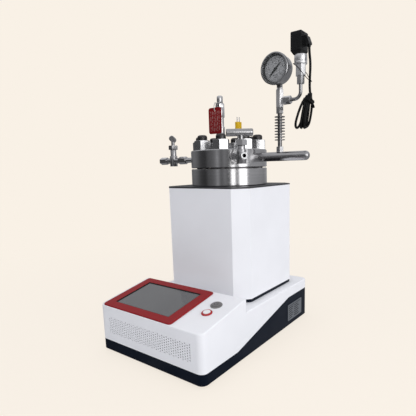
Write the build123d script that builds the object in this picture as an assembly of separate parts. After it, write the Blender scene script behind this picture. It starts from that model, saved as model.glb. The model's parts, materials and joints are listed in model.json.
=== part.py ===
from build123d import *
import math
import os

# Bench hydrothermal reactor: a bolted pressure vessel with gas fittings, standing in a heated and
# magnetically stirred tower on a console with a touch screen. Millimetres, +Z up, floor at Z = 0.
# The front face looks along -Y. The origin is below the middle of the whole machine, on the floor.

os.makedirs("parts", exist_ok=True)

# ---------------------------------------------------------------- driving dimensions
# console
base_width = 257.0
base_depth = 376.0
base_corner = 12.0
front_height = 87.5          # front face of the console, above its underside
console_rise = 21.8          # how much the panel climbs from the front edge to its rear edge
console_depth = 124.5        # the panel's depth, measured level
deck_height = 83.5           # deck behind the panel
shell_wall = 2.0
edge_round = 2.5
foot_height = 4.0
foot_radius = 9.0
foot_inset = 24.0
# parting line between the dark tray and the pale shell, on both sides of the console
part_low = 19.4
part_high = 62.5
part_knee_front = 95.0
part_knee_rear = 285.0
seam = 0.5
lip_height = 6.0
lip_wall = 1.5
lip_clearance = 0.3

# touch screen, measured along the sloping panel
bezel_width = 179.0
bezel_length = 120.0
bezel_corner = 6.0
bezel_thick = 2.6
bezel_left_margin = 9.0      # from the console's left side
bezel_front_margin = 1.2     # from the panel's front edge
screen_width = 142.0
screen_length = 88.0
screen_recess = 1.6
glass_thick = 1.4
module_thick = 12.0
panel_fit = 0.4

# push buttons, places measured from the console's right side and along the panel
run_button_right = 36.0
run_button_along = 57.5
power_button_right = 36.5
power_button_along = 85.0
ring_outer = 19.6
ring_inner = 13.5
dark_ring_outer = 22.0
dark_ring_inner = 17.2
ring_thick = 2.2
barrel_radius_drop = 1.6
barrel_length = 14.0
button_gap = 0.3
button_proud = 1.0
button_travel = 1.5

# plate on the right side
plate_length = 65.0
plate_height = 36.0
plate_thick = 0.8
plate_start = 281.0          # from the console's front
plate_bottom = 9.9

# power inlet at the rear
inlet_width = 50.0
inlet_height = 28.0
inlet_flange = 3.0
inlet_right = 60.0
inlet_centre_height = 40.0

# tower
tower_width = 207.0
tower_depth = 207.0
tower_chamfer = 25.0
tower_wall = 1.5
tower_flange = 12.0
tower_height = 211.7
tower_rear_margin = 22.0     # tower's back to the console's back
tower_side_margin = 20.3     # tower's right side to the console's right side
plinth_height = 6.5
plinth_wall = 8.0
plinth_inset = 0.6
top_plate_thick = 2.5
top_plate_overhang = 0.4
top_plate_fit = 2.0          # radial room round the vessel's body

# pressure vessel
flange_radius = 80.0
flange_thick = 34.7
flange_chamfer = 1.5
vessel_radius = 50.0
vessel_bore = 40.0
vessel_depth = 150.0         # below the flange's underside
vessel_floor = 16.0
liner_clearance = 0.3
liner_wall = 5.0
liner_floor = 6.0
liner_top_gap = 14.0
face_gap = 1.6
lid_thick = 35.7
spigot_height = 8.0
spigot_clearance = 0.2
seal_outer = 48.0
seal_inner = 42.0
seal_groove = 3.0

# closure
stud_count = 8
stud_first_angle = 22.5
stud_circle = 62.0
stud_radius = 10.0
stud_hole_clearance = 0.8
stud_engaged = 28.0
stud_proud = 11.0
stud_dome = 4.0
nut_flats = 30.0
nut_height = 19.0
nut_chamfer = 1.6
thread_clearance = 0.1

# ports in the lid's side
port_radius = 7.0
port_above_seam = 18.9       # ports' axes above the lid's underside
port_depth = 14.0
passage_radius = 3.0
passage_reach = 31.0         # distance of the vertical passages from the vessel's axis
spotface_radius = 11.0
spotface_depth = 0.8
port_fit = 0.1

# gas arm
arm_radius = 8.8
arm_reach = 184.6
arm_shank = 6.9
arm_bore = 2.0
arm_crown = 8.2
seat_depth = 1.2             # the stem nut's seat in the arm
seat_room = 1.2
stem_from_axis = 122.9
stem_bore = 1.6
stem_nut_flats = 13.0
stem_nut_height = 11.0
core_radius = 4.1
fin_radius = 9.8
fin_thick = 1.4
fin_pitch = 5.34
fin_count = 9
fin_first = 30.6             # first fin above the arm's axis
finned_length = 79.2
tee_flats = 13.5
tee_height = 32.0
tee_neck_radius = 5.5
tee_neck = 3.5
tee_port_radius = 5.4
tee_port_proud = 2.2

# pressure gauge
gauge_case_radius = 26.2
gauge_foot = 131.8           # case's underside above the arm's axis
gauge_height = gauge_foot + gauge_case_radius
gauge_case_depth = 28.5      # from the bezel's front to the case's back
gauge_bezel_radius = 28.5
gauge_bezel_lap = 7.0
gauge_front = 23.0           # bezel's front, ahead of the stem
gauge_rim = 3.4
gauge_wall = 1.6
dial_thick = 1.0
lens_thick = 2.0
lens_inset = 1.8             # behind the bezel's front
dial_inset = 8.0
pointer_long = 17.0
pointer_tail = 14.0
pointer_thick = 0.6
pointer_hub = 2.6
pointer_rest = 135.0         # where the pointer stands, turned from the right
gauge_neck_flats = 8.0

# branch and pressure transmitter
branch_height = 102.8        # above the arm's axis
branch_nut_flats = 13.6
branch_nut_length = 14.6
branch_radius = 3.2
branch_bend = 12.0
transmitter_from_axis = 166.1
transmitter_nut_base = 128.0
transmitter_nut_height = 14.0
transmitter_nut_flats = 13.0
adaptor_flats = 17.0
adaptor_height = 19.7
barrel_radius = 11.6
barrel_height = 15.6
barrel_groove = 1.2
plug_width = 21.8
plug_depth = 29.0
plug_height = 38.2
plug_round = 2.0
plug_shift_x = -3.5          # connector's axis, from the transmitter's axis
plug_shift_y = 0.7
plug_foot_drawn_in = 4.5
plug_foot_height = 7.0
outlet_reach = 11.8          # connector's side outlet, beyond the connector's side
outlet_top_reach = 7.6
outlet_depth = 14.0
outlet_forward = 2.5         # ahead of the connector's middle
outlet_height = 15.4
outlet_knee = 3.2
outlet_base = 14.1           # above the connector's foot
gland_radius = 2.9
gland_length = 3.0
cable_from_axis = 182.4      # cable's exit, from the vessel's axis
cable_diameter = 4.4
# bends of the hanging cable: further out, further back, and height above the gas arm's axis
cable_bends = [(0.0, 0.0, 181.0), (2.4, 0.8, 160.0), (1.8, -0.8, 132.0)]
hank_from_axis = 183.8       # the hank hangs from here
hank_turned = 25.0           # its broad side, turned from the arm's direction
hank_front = 17.0            # its depth, in front of and behind the cable
hank_back = 13.0
hank_round = 4.0
# the hank's outline: along its broad side, and height above the gas arm's axis
hank_outline = [
    (5.5, 109.0),
    (-6.0, 109.0),
    (-12.5, 98.0),
    (-21.0, 80.0),
    (-27.0, 66.0),
    (-26.0, 50.5),
    (-20.0, 48.0),
    (-4.0, 48.0),
    (1.5, 58.0),
    (5.5, 80.0),
]
strap_height = 91.0
strap_wide = 4.5
strap_thick = 1.2

# valves
valve_barrel_radius = 6.5
valve_half_length = 20.0
valve_core_radius = 8.8
valve_core_drop = 13.0
valve_core_rise = 11.0
valve_neck_radius = 6.9
valve_bore = 3.0
male_radius = 5.2
male_length = 8.5
union_flats = 15.5
union_length = 21.5
nipple_radius = 6.0
nipple_hex_flats = 15.5
nipple_hex_length = 16.0
cap_nut_flats = 15.0
cap_nut_length = 20.5
gland_flats = 19.0
gland_height = 9.5
stem_radius = 4.0
stem_clearance = 0.1
stem_foot = 4.0              # the stem ends this far above the bore's axis
bar_radius = 6.4
left_angle = 180.0
left_reach = 163.5           # bonnet's distance from the vessel's axis
left_neck_top = 26.0
left_bar_height = 50.0
left_bar_length = 55.0
left_bar_angle = 130.0
front_angle = -45.5
front_reach = 153.0
front_neck_top = 18.5
front_bar_height = 40.0
front_bar_length = 46.5
front_bar_angle = 38.0
front_bar_slide = -2.5       # the bar slides in its stem

# relief valve and its tag, and the thermowell, on top of the lid
relief_x = -24.0
relief_y = 5.0
relief_port = 5.0
relief_bore = 2.5
relief_hex_flats = 19.0
relief_hex_height = 13.4
# the valve's turned steps going up: radius and height
relief_steps = [(7.0, 22.0), (9.3, 15.0), (7.6, 20.0), (9.3, 20.0)]
relief_shank = 12.0
cap_flats = 17.0
cap_height = 8.4
cap_neck_radius = 3.4
cap_neck_height = 2.6
knob_radius = 6.4
knob_height = 13.4
knob_crown = 2.6
thermo_x = 20.0
thermo_y = 9.0
well_radius = 3.0
well_depth = 140.0           # below the lid's spigot
well_nut_flats = 14.0
well_nut_height = 12.0
well_neck_radius = 5.0
well_neck_height = 4.0
well_clamp_flats = 12.0
well_clamp_height = 9.0
probe_fit = 0.05
plug_body_x = 8.0
plug_body_y = 15.0
plug_body_height = 19.0
plug_neck_x = 7.4
plug_neck_y = 10.0
plug_neck_height = 3.0
probe_above_lid = 38.4
pin_radius = 0.9
pin_spacing = 8.0
pin_length = 10.0
tag_width = 34.0
tag_height = 54.0
tag_thick = 1.0
tag_corner = 5.0
tag_hole = 1.6
tag_hole_drop = 6.0
tag_x = -4.0                 # tag's middle, from the relief valve's axis
tag_top = 90.0               # above the lid
tag_gap = 13.0               # tag's middle plane, from the relief valve's axis
ring_wire = 0.7
dip_radius = 2.4
dip_depth = 120.0

# heater and stirrer inside the tower
sleeve_clearance = 1.0
sleeve_wall = 5.0
heater_gap = 0.3
heater_thick = 4.0
heater_length = 110.0
heater_rise = 14.0           # above the sleeve's foot
heater_ear = 12.0
heater_ear_gap = 4.0
sleeve_top_drop = 14.0
lead_slot_depth = 16.0
lead_slot_width = 18.0
insulation_gap = 3.0
insulation_room = 12.0        # from the wool to the tower's sheet
insulation_radius = min(tower_width, tower_depth) / 2 - tower_wall - insulation_room
insulation_step = 67.5       # sleeve's foot above the deck
motor_radius = 34.0
motor_height = 34.0
motor_edge = 2.0
motor_boss_radius = 12.0
motor_boss_height = 3.0
shaft_radius = 3.0
bracket_side = 150.0
bracket_thick = 3.0
rotor_radius = 32.0
rotor_height = 14.0
rotor_above_motor = 9.0
magnet_radius = 7.0
magnet_offset = 20.0
stir_length = 40.0
stir_radius = 4.0

# ---------------------------------------------------------------- derived places
left_extent = left_reach + valve_half_length + cap_nut_length
right_extent = transmitter_from_axis + plug_shift_x + plug_width / 2 + outlet_reach
axis_x = (left_extent - right_extent) / 2
front_y = -(base_depth + inlet_flange) / 2
axis_y = front_y + base_depth - tower_rear_margin - tower_depth / 2
right_x = axis_x + tower_width / 2 + tower_side_margin
left_x = right_x - base_width
base_x = (left_x + right_x) / 2
base_y = front_y + base_depth / 2
under = foot_height
deck_z = under + deck_height
plinth_top = deck_z + plinth_height
tower_top = plinth_top + tower_height
flange_under = tower_top + top_plate_thick
flange_top = flange_under + flange_thick
lid_under = flange_top + face_gap
lid_top = lid_under + lid_thick
port_z = lid_under + port_above_seam
panel_slope = math.degrees(math.atan2(console_rise, console_depth))
panel_frame = Plane(
    origin=(right_x, front_y, under + front_height),
    x_dir=(1, 0, 0),
    z_dir=(0, -math.sin(math.radians(panel_slope)), math.cos(math.radians(panel_slope))),
)
tee_base = port_z + finned_length + stem_nut_height + seat_depth
gauge_z = port_z + gauge_height
transmitter_x = axis_x + transmitter_from_axis
nut_base_z = port_z + transmitter_nut_base
adaptor_z = nut_base_z + transmitter_nut_height
barrel_z = adaptor_z + adaptor_height
plug_z = barrel_z + barrel_height
plug_x = transmitter_x + plug_shift_x
plug_y = axis_y + plug_shift_y
gland_z = plug_z + outlet_base - gland_length
UP = (Align.CENTER, Align.CENTER, Align.MIN)
TOP = (Align.CENTER, Align.CENTER, Align.MAX)


# ---------------------------------------------------------------- helpers
def rod(radius, length, x=0.0, y=0.0, z=0.0):
    """Upright cylinder standing on z."""
    return Pos(x, y, z) * Cylinder(radius, length, align=UP)


def block(width, depth, height, x=0.0, y=0.0, z=0.0):
    """Box centred on x and y, standing on z."""
    return Pos(x, y, z) * Box(width, depth, height, align=UP)


def hexagon(flats, height, x=0.0, y=0.0, z=0.0, chamfer_size=0.0):
    """Upright hexagonal prism; its corners may be turned down at the top, as on a nut."""
    outline = RegularPolygon(radius=flats / 2, side_count=6, major_radius=False)
    prism = extrude(outline, height)
    if chamfer_size > 0:
        cap = Cylinder(flats / math.sqrt(3) + 0.01, height, align=UP)
        cap = chamfer(cap.edges().sort_by(Axis.Z)[-1:], chamfer_size)
        prism = prism & cap
    return Pos(x, y, z) * prism


def turned(points):
    """Solid of revolution about Z from (radius, height) points."""
    return revolve(Plane.XZ * make_face(Polyline([(r, z) for r, z in points], close=True)), Axis.Z)


def crowned(radius, length, crown):
    """Upright round bar, its top drawn in by two chamfers."""
    small = 0.3 * crown
    return turned(
        [
            (0, 0),
            (radius, 0),
            (radius, length - crown),
            (radius - small, length - small),
            (radius - crown, length),
            (0, length),
        ]
    )


def outward(piece, angle, start, height):
    """Lay a piece built along +Z so that it runs out from the vessel's axis at an angle."""
    frame = Pos(axis_x, axis_y, height) * Rot(0, 0, angle) * Pos(start, 0, 0) * Rot(0, 90, 0)
    return frame * piece


def chamfered_square(width, depth, corner):
    """Plan outline with its four corners cut at 45 degrees."""
    outline = Rectangle(width, depth)
    return chamfer(outline.vertices(), corner)


def wire_piece(points, radius, bend):
    """Bent wire of round section along a list of points."""
    path = FilletPolyline(*points, radius=bend)
    return sweep(Plane(origin=path @ 0, z_dir=path % 0) * Circle(radius), path)


def bolt_places(count, radius, first):
    """Points evenly spaced on a circle round the vessel's axis."""
    turns = [math.radians(first + 360.0 * n / count) for n in range(count)]
    return [(axis_x + radius * math.cos(a), axis_y + radius * math.sin(a)) for a in turns]


parts = {}
tube_nuts = []               # every compression nut of the gas fittings


# ---------------------------------------------------------------- console
def console_body(inset):
    """The console's outer form, drawn in by an inset all round."""
    profile = Polyline(
        [
            (0, 0),
            (base_depth, 0),
            (base_depth, deck_height),
            (console_depth, deck_height),
            (console_depth, front_height + console_rise),
            (0, front_height),
        ],
        close=True,
    )
    face = make_face(profile)
    if inset > 0:
        face = offset(face, -inset, kind=Kind.INTERSECTION)
    side = Plane(origin=(left_x, front_y, under), x_dir=(0, 1, 0), z_dir=(1, 0, 0))
    body = extrude(side * face, base_width)
    plan = RectangleRounded(base_width - 2 * inset, base_depth - 2 * inset, base_corner - inset)
    prism = extrude(plan, 2 * front_height)
    return body & Pos(base_x, base_y, under) * prism


def below_parting(shift):
    """Everything under the parting line, the line moved up by a shift."""
    far = base_depth + 20
    profile = Polyline(
        [
            (-20, -20),
            (far, -20),
            (far, part_high + shift),
            (part_knee_rear, part_high + shift),
            (part_knee_front, part_low + shift),
            (-20, part_low + shift),
        ],
        close=True,
    )
    side = Plane(origin=(left_x - 20, front_y, under), x_dir=(0, 1, 0), z_dir=(1, 0, 0))
    return extrude(side * make_face(profile), base_width + 40)


def soft_top_edges(body):
    """Round the console's outer top edges, as its painted sheet has them."""
    top = body.edges().filter_by(lambda e: e.bounding_box().min.Z > under + part_high + 5)
    outer = [e for e in top if not e.is_closed]
    return fillet(outer, edge_round)


def panel_place(right, along):
    """Frame on the sloping panel at a distance from the right side and up the slope."""
    return panel_frame * Pos(-right, along, 0)


def console():
    outer = soft_top_edges(console_body(0))
    hollow = console_body(shell_wall)
    shell = outer - hollow
    lip_room = console_body(shell_wall + lip_clearance) - console_body(shell_wall + lip_wall)
    lip_foot = hollow - console_body(shell_wall + lip_wall)
    lip = lip_room & (below_parting(lip_height) - below_parting(-lip_height))
    lip = lip + (lip_foot & (below_parting(-seam) - below_parting(-lip_height)))
    tray = (shell & below_parting(0)) + lip
    upper = shell - below_parting(seam)

    screen = panel_place(right_to_bezel(), bezel_front_margin + bezel_length / 2)
    upper -= screen * Box(screen_width + 2, screen_length + 2, 20)
    for right, along, outer_size in buttons():
        upper -= panel_place(right, along) * Cylinder(outer_size / 2 - barrel_radius_drop + 0.2, 20)
    opening = tower_width - 2 * plinth_wall - 20
    upper -= block(opening * 0.35, opening * 0.35, 20, axis_x, axis_y, deck_z - 10)
    tray -= inlet_box(panel_fit)
    upper -= inlet_box(panel_fit)
    parts["base_tray"] = tray
    parts["upper_shell"] = upper

    inset_x = base_width / 2 - foot_inset
    inset_y = base_depth / 2 - foot_inset
    foot = Cone(foot_radius - 1, foot_radius, foot_height, align=UP)
    spots = [(sx * inset_x, sy * inset_y) for sx in (-1, 1) for sy in (-1, 1)]
    parts["feet"] = Compound([Pos(base_x + x, base_y + y, 0) * foot for x, y in spots])


def right_to_bezel():
    """Distance from the console's right side to the middle of the screen."""
    return base_width - bezel_left_margin - bezel_width / 2


def buttons():
    """Places and outer sizes of the two push buttons."""
    return [
        (run_button_right, run_button_along, ring_outer),
        (power_button_right, power_button_along, dark_ring_outer),
    ]


def inlet_box(grow):
    """Body of the power inlet that passes through the rear wall."""
    width = inlet_width - 8 + 2 * grow
    height = inlet_height - 6 + 2 * grow
    place = Pos(right_x - inlet_right, front_y + base_depth - 12, under + inlet_centre_height)
    return place * Box(width, 26, height)


def screen():
    place = panel_place(right_to_bezel(), bezel_front_margin + bezel_length / 2)
    outline = RectangleRounded(bezel_width, bezel_length, bezel_corner)
    window = Rectangle(screen_width, screen_length)
    frame = extrude(outline, bezel_thick)
    frame = chamfer(frame.edges().group_by(Axis.Z)[-1], 0.8)
    frame -= extrude(window, bezel_thick)
    parts["screen_bezel"] = place * frame
    glass_top = bezel_thick - screen_recess
    glass = Box(screen_width - 0.6, screen_length - 0.6, glass_thick, align=TOP)
    parts["screen_glass"] = place * Pos(0, 0, glass_top) * glass
    module = Box(screen_width, screen_length, module_thick, align=TOP)
    parts["display_module"] = place * Pos(0, 0, glass_top - glass_thick) * module


def push_button(name, right, along, outer_size, inner_size):
    """Bezel ring with a threaded barrel, and the cap that travels in it."""
    place = panel_place(right, along)
    barrel = outer_size / 2 - barrel_radius_drop
    ring = turned(
        [
            (inner_size / 2, -barrel_length),
            (barrel, -barrel_length),
            (barrel, 0),
            (outer_size / 2, 0),
            (outer_size / 2, ring_thick - 1.0),
            (outer_size / 2 - 1.0, ring_thick),
            (inner_size / 2, ring_thick),
        ]
    )
    cap_radius = inner_size / 2 - button_gap
    cap_top = ring_thick + button_proud
    cap_foot = 2 * button_travel - barrel_length
    cap = rod(cap_radius, cap_top - cap_foot, 0, 0, cap_foot)
    cap = chamfer(cap.edges().sort_by(Axis.Z)[-1:], 0.6)
    parts[name + "_ring"] = place * ring
    parts[name] = place * cap


def console_fittings():
    push_button("run_button", run_button_right, run_button_along, ring_outer, ring_inner)
    push_button("power_button", power_button_right, power_button_along, dark_ring_outer, dark_ring_inner)

    plate = RectangleRounded(plate_length, plate_height, 2)
    middle_y = front_y + plate_start + plate_length / 2
    middle_z = under + plate_bottom + plate_height / 2
    wall = Plane(origin=(right_x, middle_y, middle_z), x_dir=(0, 1, 0), z_dir=(1, 0, 0))
    parts["side_plate"] = extrude(wall * plate, plate_thick)

    rear = Plane(
        origin=(right_x - inlet_right, front_y + base_depth, under + inlet_centre_height),
        x_dir=(-1, 0, 0),
        z_dir=(0, 1, 0),
    )
    inlet = inlet_box(0) + extrude(rear * RectangleRounded(inlet_width, inlet_height, 3), inlet_flange)
    socket = rear * Pos(0, 0, inlet_flange - 8) * Box(24, 16, 16)
    pins = [rear * Pos(x, y, -8.5) * Box(2, 4, 9) for x, y in ((-7, -2), (0, 3), (7, -2))]
    parts["power_inlet"] = inlet - socket + pins

    floor_z = under + shell_wall
    board = block(150, 70, 1.6, axis_x + 20, front_y + 60, floor_z + 6)
    posts = [rod(3, 6, axis_x + x, front_y + y, floor_z) for x in (-48, 88) for y in (32, 88)]
    chips = [block(20, 20, 3, axis_x + x, front_y + y, floor_z + 7.6) for x, y in ((0, 55), (40, 70))]
    parts["control_board"] = board + posts + chips
    supply = block(110, 78, 36, axis_x - 50, front_y + 250, floor_z)
    vents = [Pos(axis_x - 50 + x, front_y + 212, floor_z + 18) * Box(4, 4, 24) for x in range(-40, 41, 16)]
    parts["power_supply"] = supply - vents


# ---------------------------------------------------------------- tower
def tower():
    outline = chamfered_square(tower_width, tower_depth, tower_chamfer)
    inner = offset(outline, -tower_wall, kind=Kind.INTERSECTION)
    lip = offset(outline, -tower_flange, kind=Kind.INTERSECTION)
    shell = extrude(outline, tower_height) - extrude(inner, tower_height)
    fold = extrude(outline - lip, tower_wall)
    shell = shell + fold + Pos(0, 0, tower_height - tower_wall) * fold
    parts["tower_shell"] = Pos(axis_x, axis_y, plinth_top) * shell

    foot = offset(outline, -plinth_inset, kind=Kind.INTERSECTION)
    foot_hole = offset(outline, -plinth_inset - plinth_wall, kind=Kind.INTERSECTION)
    parts["tower_plinth"] = Pos(axis_x, axis_y, deck_z) * extrude(foot - foot_hole, plinth_height)

    grown = 2 * top_plate_overhang
    corner = tower_chamfer + top_plate_overhang / 2
    cover = chamfered_square(tower_width + grown, tower_depth + grown, corner)
    cover = extrude(cover - Circle(vessel_radius + top_plate_fit), top_plate_thick)
    parts["top_plate"] = Pos(axis_x, axis_y, tower_top) * cover


def heater():
    sleeve_in = vessel_radius + sleeve_clearance
    sleeve_out = sleeve_in + sleeve_wall
    step_z = deck_z + insulation_step
    sleeve_top = flange_under - sleeve_top_drop
    parts["heater_sleeve"] = Pos(axis_x, axis_y, 0) * turned(
        [(sleeve_in, step_z), (sleeve_out, step_z), (sleeve_out, sleeve_top), (sleeve_in, sleeve_top)]
    )
    band_in = sleeve_out + heater_gap
    band_z = step_z + heater_rise
    band = rod(band_in + heater_thick, heater_length) - rod(band_in, heater_length)
    band -= block(heater_ear + 8, heater_ear_gap, heater_length, band_in)
    ears = [block(heater_ear, 2, heater_length, band_in + 3, s * heater_ear_gap) for s in (-1, 1)]
    ears = [ear - rod(band_in, heater_length) for ear in ears]
    parts["heater_band"] = Pos(axis_x, axis_y, band_z) * (band + ears)

    room = band_in + heater_thick + insulation_gap
    low_room = motor_radius + 11
    floor_z = deck_z + bracket_thick
    wool = turned(
        [
            (low_room, floor_z),
            (insulation_radius, floor_z),
            (insulation_radius, tower_top - 3),
            (room, tower_top - 3),
            (room, step_z),
            (low_room, step_z),
        ]
    )
    slot = block(lead_slot_depth, lead_slot_width, tower_top - step_z, room, 0, step_z)
    parts["insulation"] = Pos(axis_x, axis_y, 0) * (wool - slot)

    bracket = block(bracket_side, bracket_side, bracket_thick, axis_x, axis_y, deck_z)
    bracket = fillet(bracket.edges().filter_by(Axis.Z), 6)
    bracket -= rod(motor_radius * 0.5, bracket_thick, axis_x, axis_y, deck_z)
    parts["motor_bracket"] = bracket

    motor_z = deck_z + bracket_thick
    motor = chamfer(rod(motor_radius, motor_height).edges().filter_by(GeomType.CIRCLE), motor_edge)
    motor += rod(motor_boss_radius, motor_boss_height, 0, 0, motor_height)
    shaft = rod(shaft_radius, rotor_above_motor + rotor_height - 3, 0, 0, motor_height)
    parts["stirrer_motor"] = Pos(axis_x, axis_y, motor_z) * (motor + shaft)

    rotor_z = motor_z + motor_height + rotor_above_motor
    rotor = rod(rotor_radius, rotor_height) - rod(shaft_radius + 0.05, rotor_height)
    rotor -= [rod(magnet_radius, rotor_height - 6, s * magnet_offset, 0, 6) for s in (-1, 1)]
    magnets = [rod(magnet_radius, rotor_height - 6, s * magnet_offset, 0, 6) for s in (-1, 1)]
    parts["magnet_rotor"] = Pos(axis_x, axis_y, rotor_z) * Compound([rotor] + magnets)


# ---------------------------------------------------------------- pressure vessel
def vessel():
    bottom = flange_under - vessel_depth
    body = turned(
        [
            (0, bottom),
            (vessel_radius - 4, bottom),
            (vessel_radius, bottom + 4),
            (vessel_radius, flange_under),
            (flange_radius - flange_chamfer, flange_under),
            (flange_radius, flange_under + flange_chamfer),
            (flange_radius, flange_top - flange_chamfer),
            (flange_radius - flange_chamfer, flange_top),
            (seal_outer, flange_top),
            (seal_outer, flange_top - seal_groove),
            (seal_inner, flange_top - seal_groove),
            (seal_inner, flange_top),
            (vessel_bore, flange_top),
            (vessel_bore, bottom + vessel_floor),
            (0, bottom + vessel_floor),
        ]
    )
    body = Pos(axis_x, axis_y, 0) * body
    spots = bolt_places(stud_count, stud_circle, stud_first_angle)
    for x, y in spots:
        body -= rod(stud_radius, stud_engaged, x, y, flange_top - stud_engaged)
    parts["vessel"] = body

    liner_out = vessel_bore - liner_clearance
    liner_in = liner_out - liner_wall
    low = bottom + vessel_floor
    parts["liner"] = Pos(axis_x, axis_y, 0) * turned(
        [
            (0, low),
            (liner_out, low),
            (liner_out, flange_top - liner_top_gap),
            (liner_in, flange_top - liner_top_gap),
            (liner_in, low + liner_floor),
            (0, low + liner_floor),
        ]
    )
    half = crowned(stir_radius, stir_length / 2, 0.7 * stir_radius)
    bar = half + Rot(180, 0, 0) * half
    parts["stir_bar"] = Pos(axis_x, axis_y, low + liner_floor + stir_radius) * Rot(0, 90, 0) * bar

    ring = rod(seal_outer - 0.2, seal_groove + face_gap - 0.1)
    ring -= rod(seal_inner + 0.2, seal_groove + face_gap)
    parts["seal_ring"] = Pos(axis_x, axis_y, flange_top - seal_groove) * ring

    length = stud_engaged + face_gap + lid_thick + nut_height + stud_proud
    stud = crowned(stud_radius, length, stud_dome)
    parts["studs"] = Compound([Pos(x, y, flange_top - stud_engaged) * stud for x, y in spots])


def lid():
    spigot = vessel_bore - spigot_clearance
    body = turned(
        [
            (0, lid_under - spigot_height),
            (spigot, lid_under - spigot_height),
            (spigot, lid_under),
            (flange_radius - flange_chamfer, lid_under),
            (flange_radius, lid_under + flange_chamfer),
            (flange_radius, lid_top - flange_chamfer),
            (flange_radius - flange_chamfer, lid_top),
            (0, lid_top),
        ]
    )
    body = Pos(axis_x, axis_y, 0) * body
    spots = bolt_places(stud_count, stud_circle, stud_first_angle)
    for x, y in spots:
        body -= rod(stud_radius + stud_hole_clearance, lid_thick, x, y, lid_under)
    for angle in (left_angle, front_angle, 0.0):
        start = flange_radius - port_depth
        body -= outward(rod(port_radius, port_depth + 5), angle, start, port_z)
        body -= outward(rod(spotface_radius, 10), angle, flange_radius - spotface_depth, port_z)
        body -= outward(rod(passage_radius, start - passage_reach), angle, passage_reach, port_z)
        turn = math.radians(angle)
        x = axis_x + passage_reach * math.cos(turn)
        y = axis_y + passage_reach * math.sin(turn)
        body -= rod(passage_radius, port_z - lid_under + spigot_height, x, y, lid_under - spigot_height)
    full = lid_thick + spigot_height
    body -= rod(relief_port, full, axis_x + relief_x, axis_y + relief_y, lid_under - spigot_height)
    body -= rod(well_radius + 0.2, full, axis_x + thermo_x, axis_y + thermo_y, lid_under - spigot_height)
    parts["lid"] = body

    nut = hexagon(nut_flats, nut_height, chamfer_size=nut_chamfer)
    nut -= rod(stud_radius + thread_clearance, nut_height)
    turns = [stud_first_angle + 360.0 * n / stud_count for n in range(stud_count)]
    parts["lid_nuts"] = Compound(
        [Pos(x, y, lid_top) * Rot(0, 0, turn) * nut for (x, y), turn in zip(spots, turns)]
    )

    turn = math.radians(front_angle)
    dip = rod(dip_radius, dip_depth) - rod(dip_radius - 1.0, dip_depth)
    top = lid_under
    x = axis_x + passage_reach * math.cos(turn)
    y = axis_y + passage_reach * math.sin(turn)
    parts["dip_tube"] = Pos(x, y, top - dip_depth) * dip


# ---------------------------------------------------------------- fittings on top of the lid
def relief_valve():
    x = axis_x + relief_x
    y = axis_y + relief_y
    body = hexagon(relief_hex_flats, relief_hex_height)
    top = relief_hex_height
    for radius, height in relief_steps:
        body += rod(radius, height, 0, 0, top)
        top += height
    body += rod(relief_port - port_fit, relief_shank, 0, 0, -relief_shank)
    body -= rod(relief_bore, 2.5 * relief_shank, 0, 0, -relief_shank)
    parts["relief_body"] = Pos(x, y, lid_top) * body
    cap = hexagon(cap_flats, cap_height) + rod(cap_neck_radius, cap_neck_height, 0, 0, cap_height)
    knob = Pos(0, 0, cap_height + cap_neck_height) * crowned(knob_radius, knob_height, knob_crown)
    parts["relief_cap"] = Pos(x, y, lid_top + top) * (cap + knob)

    hole = Pos(0, tag_height / 2 - tag_hole_drop) * Circle(tag_hole)
    tag = RectangleRounded(tag_width, tag_height, tag_corner) - hole
    face_y = y - tag_gap + tag_thick / 2
    tag_z = lid_top + tag_top - tag_height / 2
    wall = Plane(origin=(x + tag_x, face_y, tag_z), x_dir=(1, 0, 0), z_dir=(0, -1, 0))
    parts["relief_tag"] = extrude(wall * tag, tag_thick)

    # the wire is bent round the knob's neck and through the tag's hole
    neck_z = top + cap_height + cap_neck_height / 2
    hole_z = tag_top - tag_hole_drop
    route = [
        (1.2, 4.8, neck_z),
        (5.3, 3.2, neck_z),
        (4.9, -10.6, neck_z),
        (tag_x + 1.4, -tag_gap + 1.9, neck_z - 6.0),
        (tag_x, -tag_gap + 1.9, hole_z + 1.4),
        (tag_x, -tag_gap - 2.4, hole_z - 0.5),
        (tag_x, -tag_gap - 2.6, neck_z - 7.0),
        (-5.3, -10.6, neck_z),
        (-5.3, 3.2, neck_z),
        (-1.2, 4.8, neck_z),
    ]
    points = [Vector(x + px, y + py, lid_top + pz) for px, py, pz in route]
    parts["tag_wire"] = wire_piece(points, ring_wire, 1.0)


def thermocouple():
    x = axis_x + thermo_x
    y = axis_y + thermo_y
    nut_top = well_nut_height + well_neck_height
    fitting = hexagon(well_nut_flats, well_nut_height)
    fitting += rod(well_neck_radius, well_neck_height, 0, 0, well_nut_height)
    fitting += hexagon(well_clamp_flats, well_clamp_height, 0, 0, nut_top)
    fitting -= rod(well_radius + probe_fit, nut_top + well_clamp_height + 1, 0, 0, -0.5)
    length = lid_thick + spigot_height + well_depth + probe_above_lid
    probe = Pos(0, 0, probe_above_lid) * Rot(180, 0, 0) * crowned(well_radius, length, well_radius - 1.0)
    parts["well_fitting"] = Pos(x, y, lid_top) * fitting
    parts["thermowell"] = Pos(x, y, lid_top) * probe
    plug = block(plug_body_x, plug_body_y, plug_body_height, 0, 0, probe_above_lid)
    plug = fillet(plug.edges().filter_by(Axis.Z), plug_round)
    neck_z = probe_above_lid - plug_neck_height
    plug += block(plug_neck_x, plug_neck_y, plug_neck_height, 0, 0, neck_z)
    plug -= rod(well_radius, plug_neck_height, 0, 0, neck_z)
    parts["thermocouple_plug"] = Pos(x, y, lid_top) * plug
    pin = rod(pin_radius, pin_length, 0, 0, probe_above_lid + plug_body_height)
    pins = [Pos(0, s * pin_spacing / 2, 0) * pin for s in (-1, 1)]
    parts["thermocouple_pins"] = Pos(x, y, lid_top) * Compound(pins)


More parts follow.
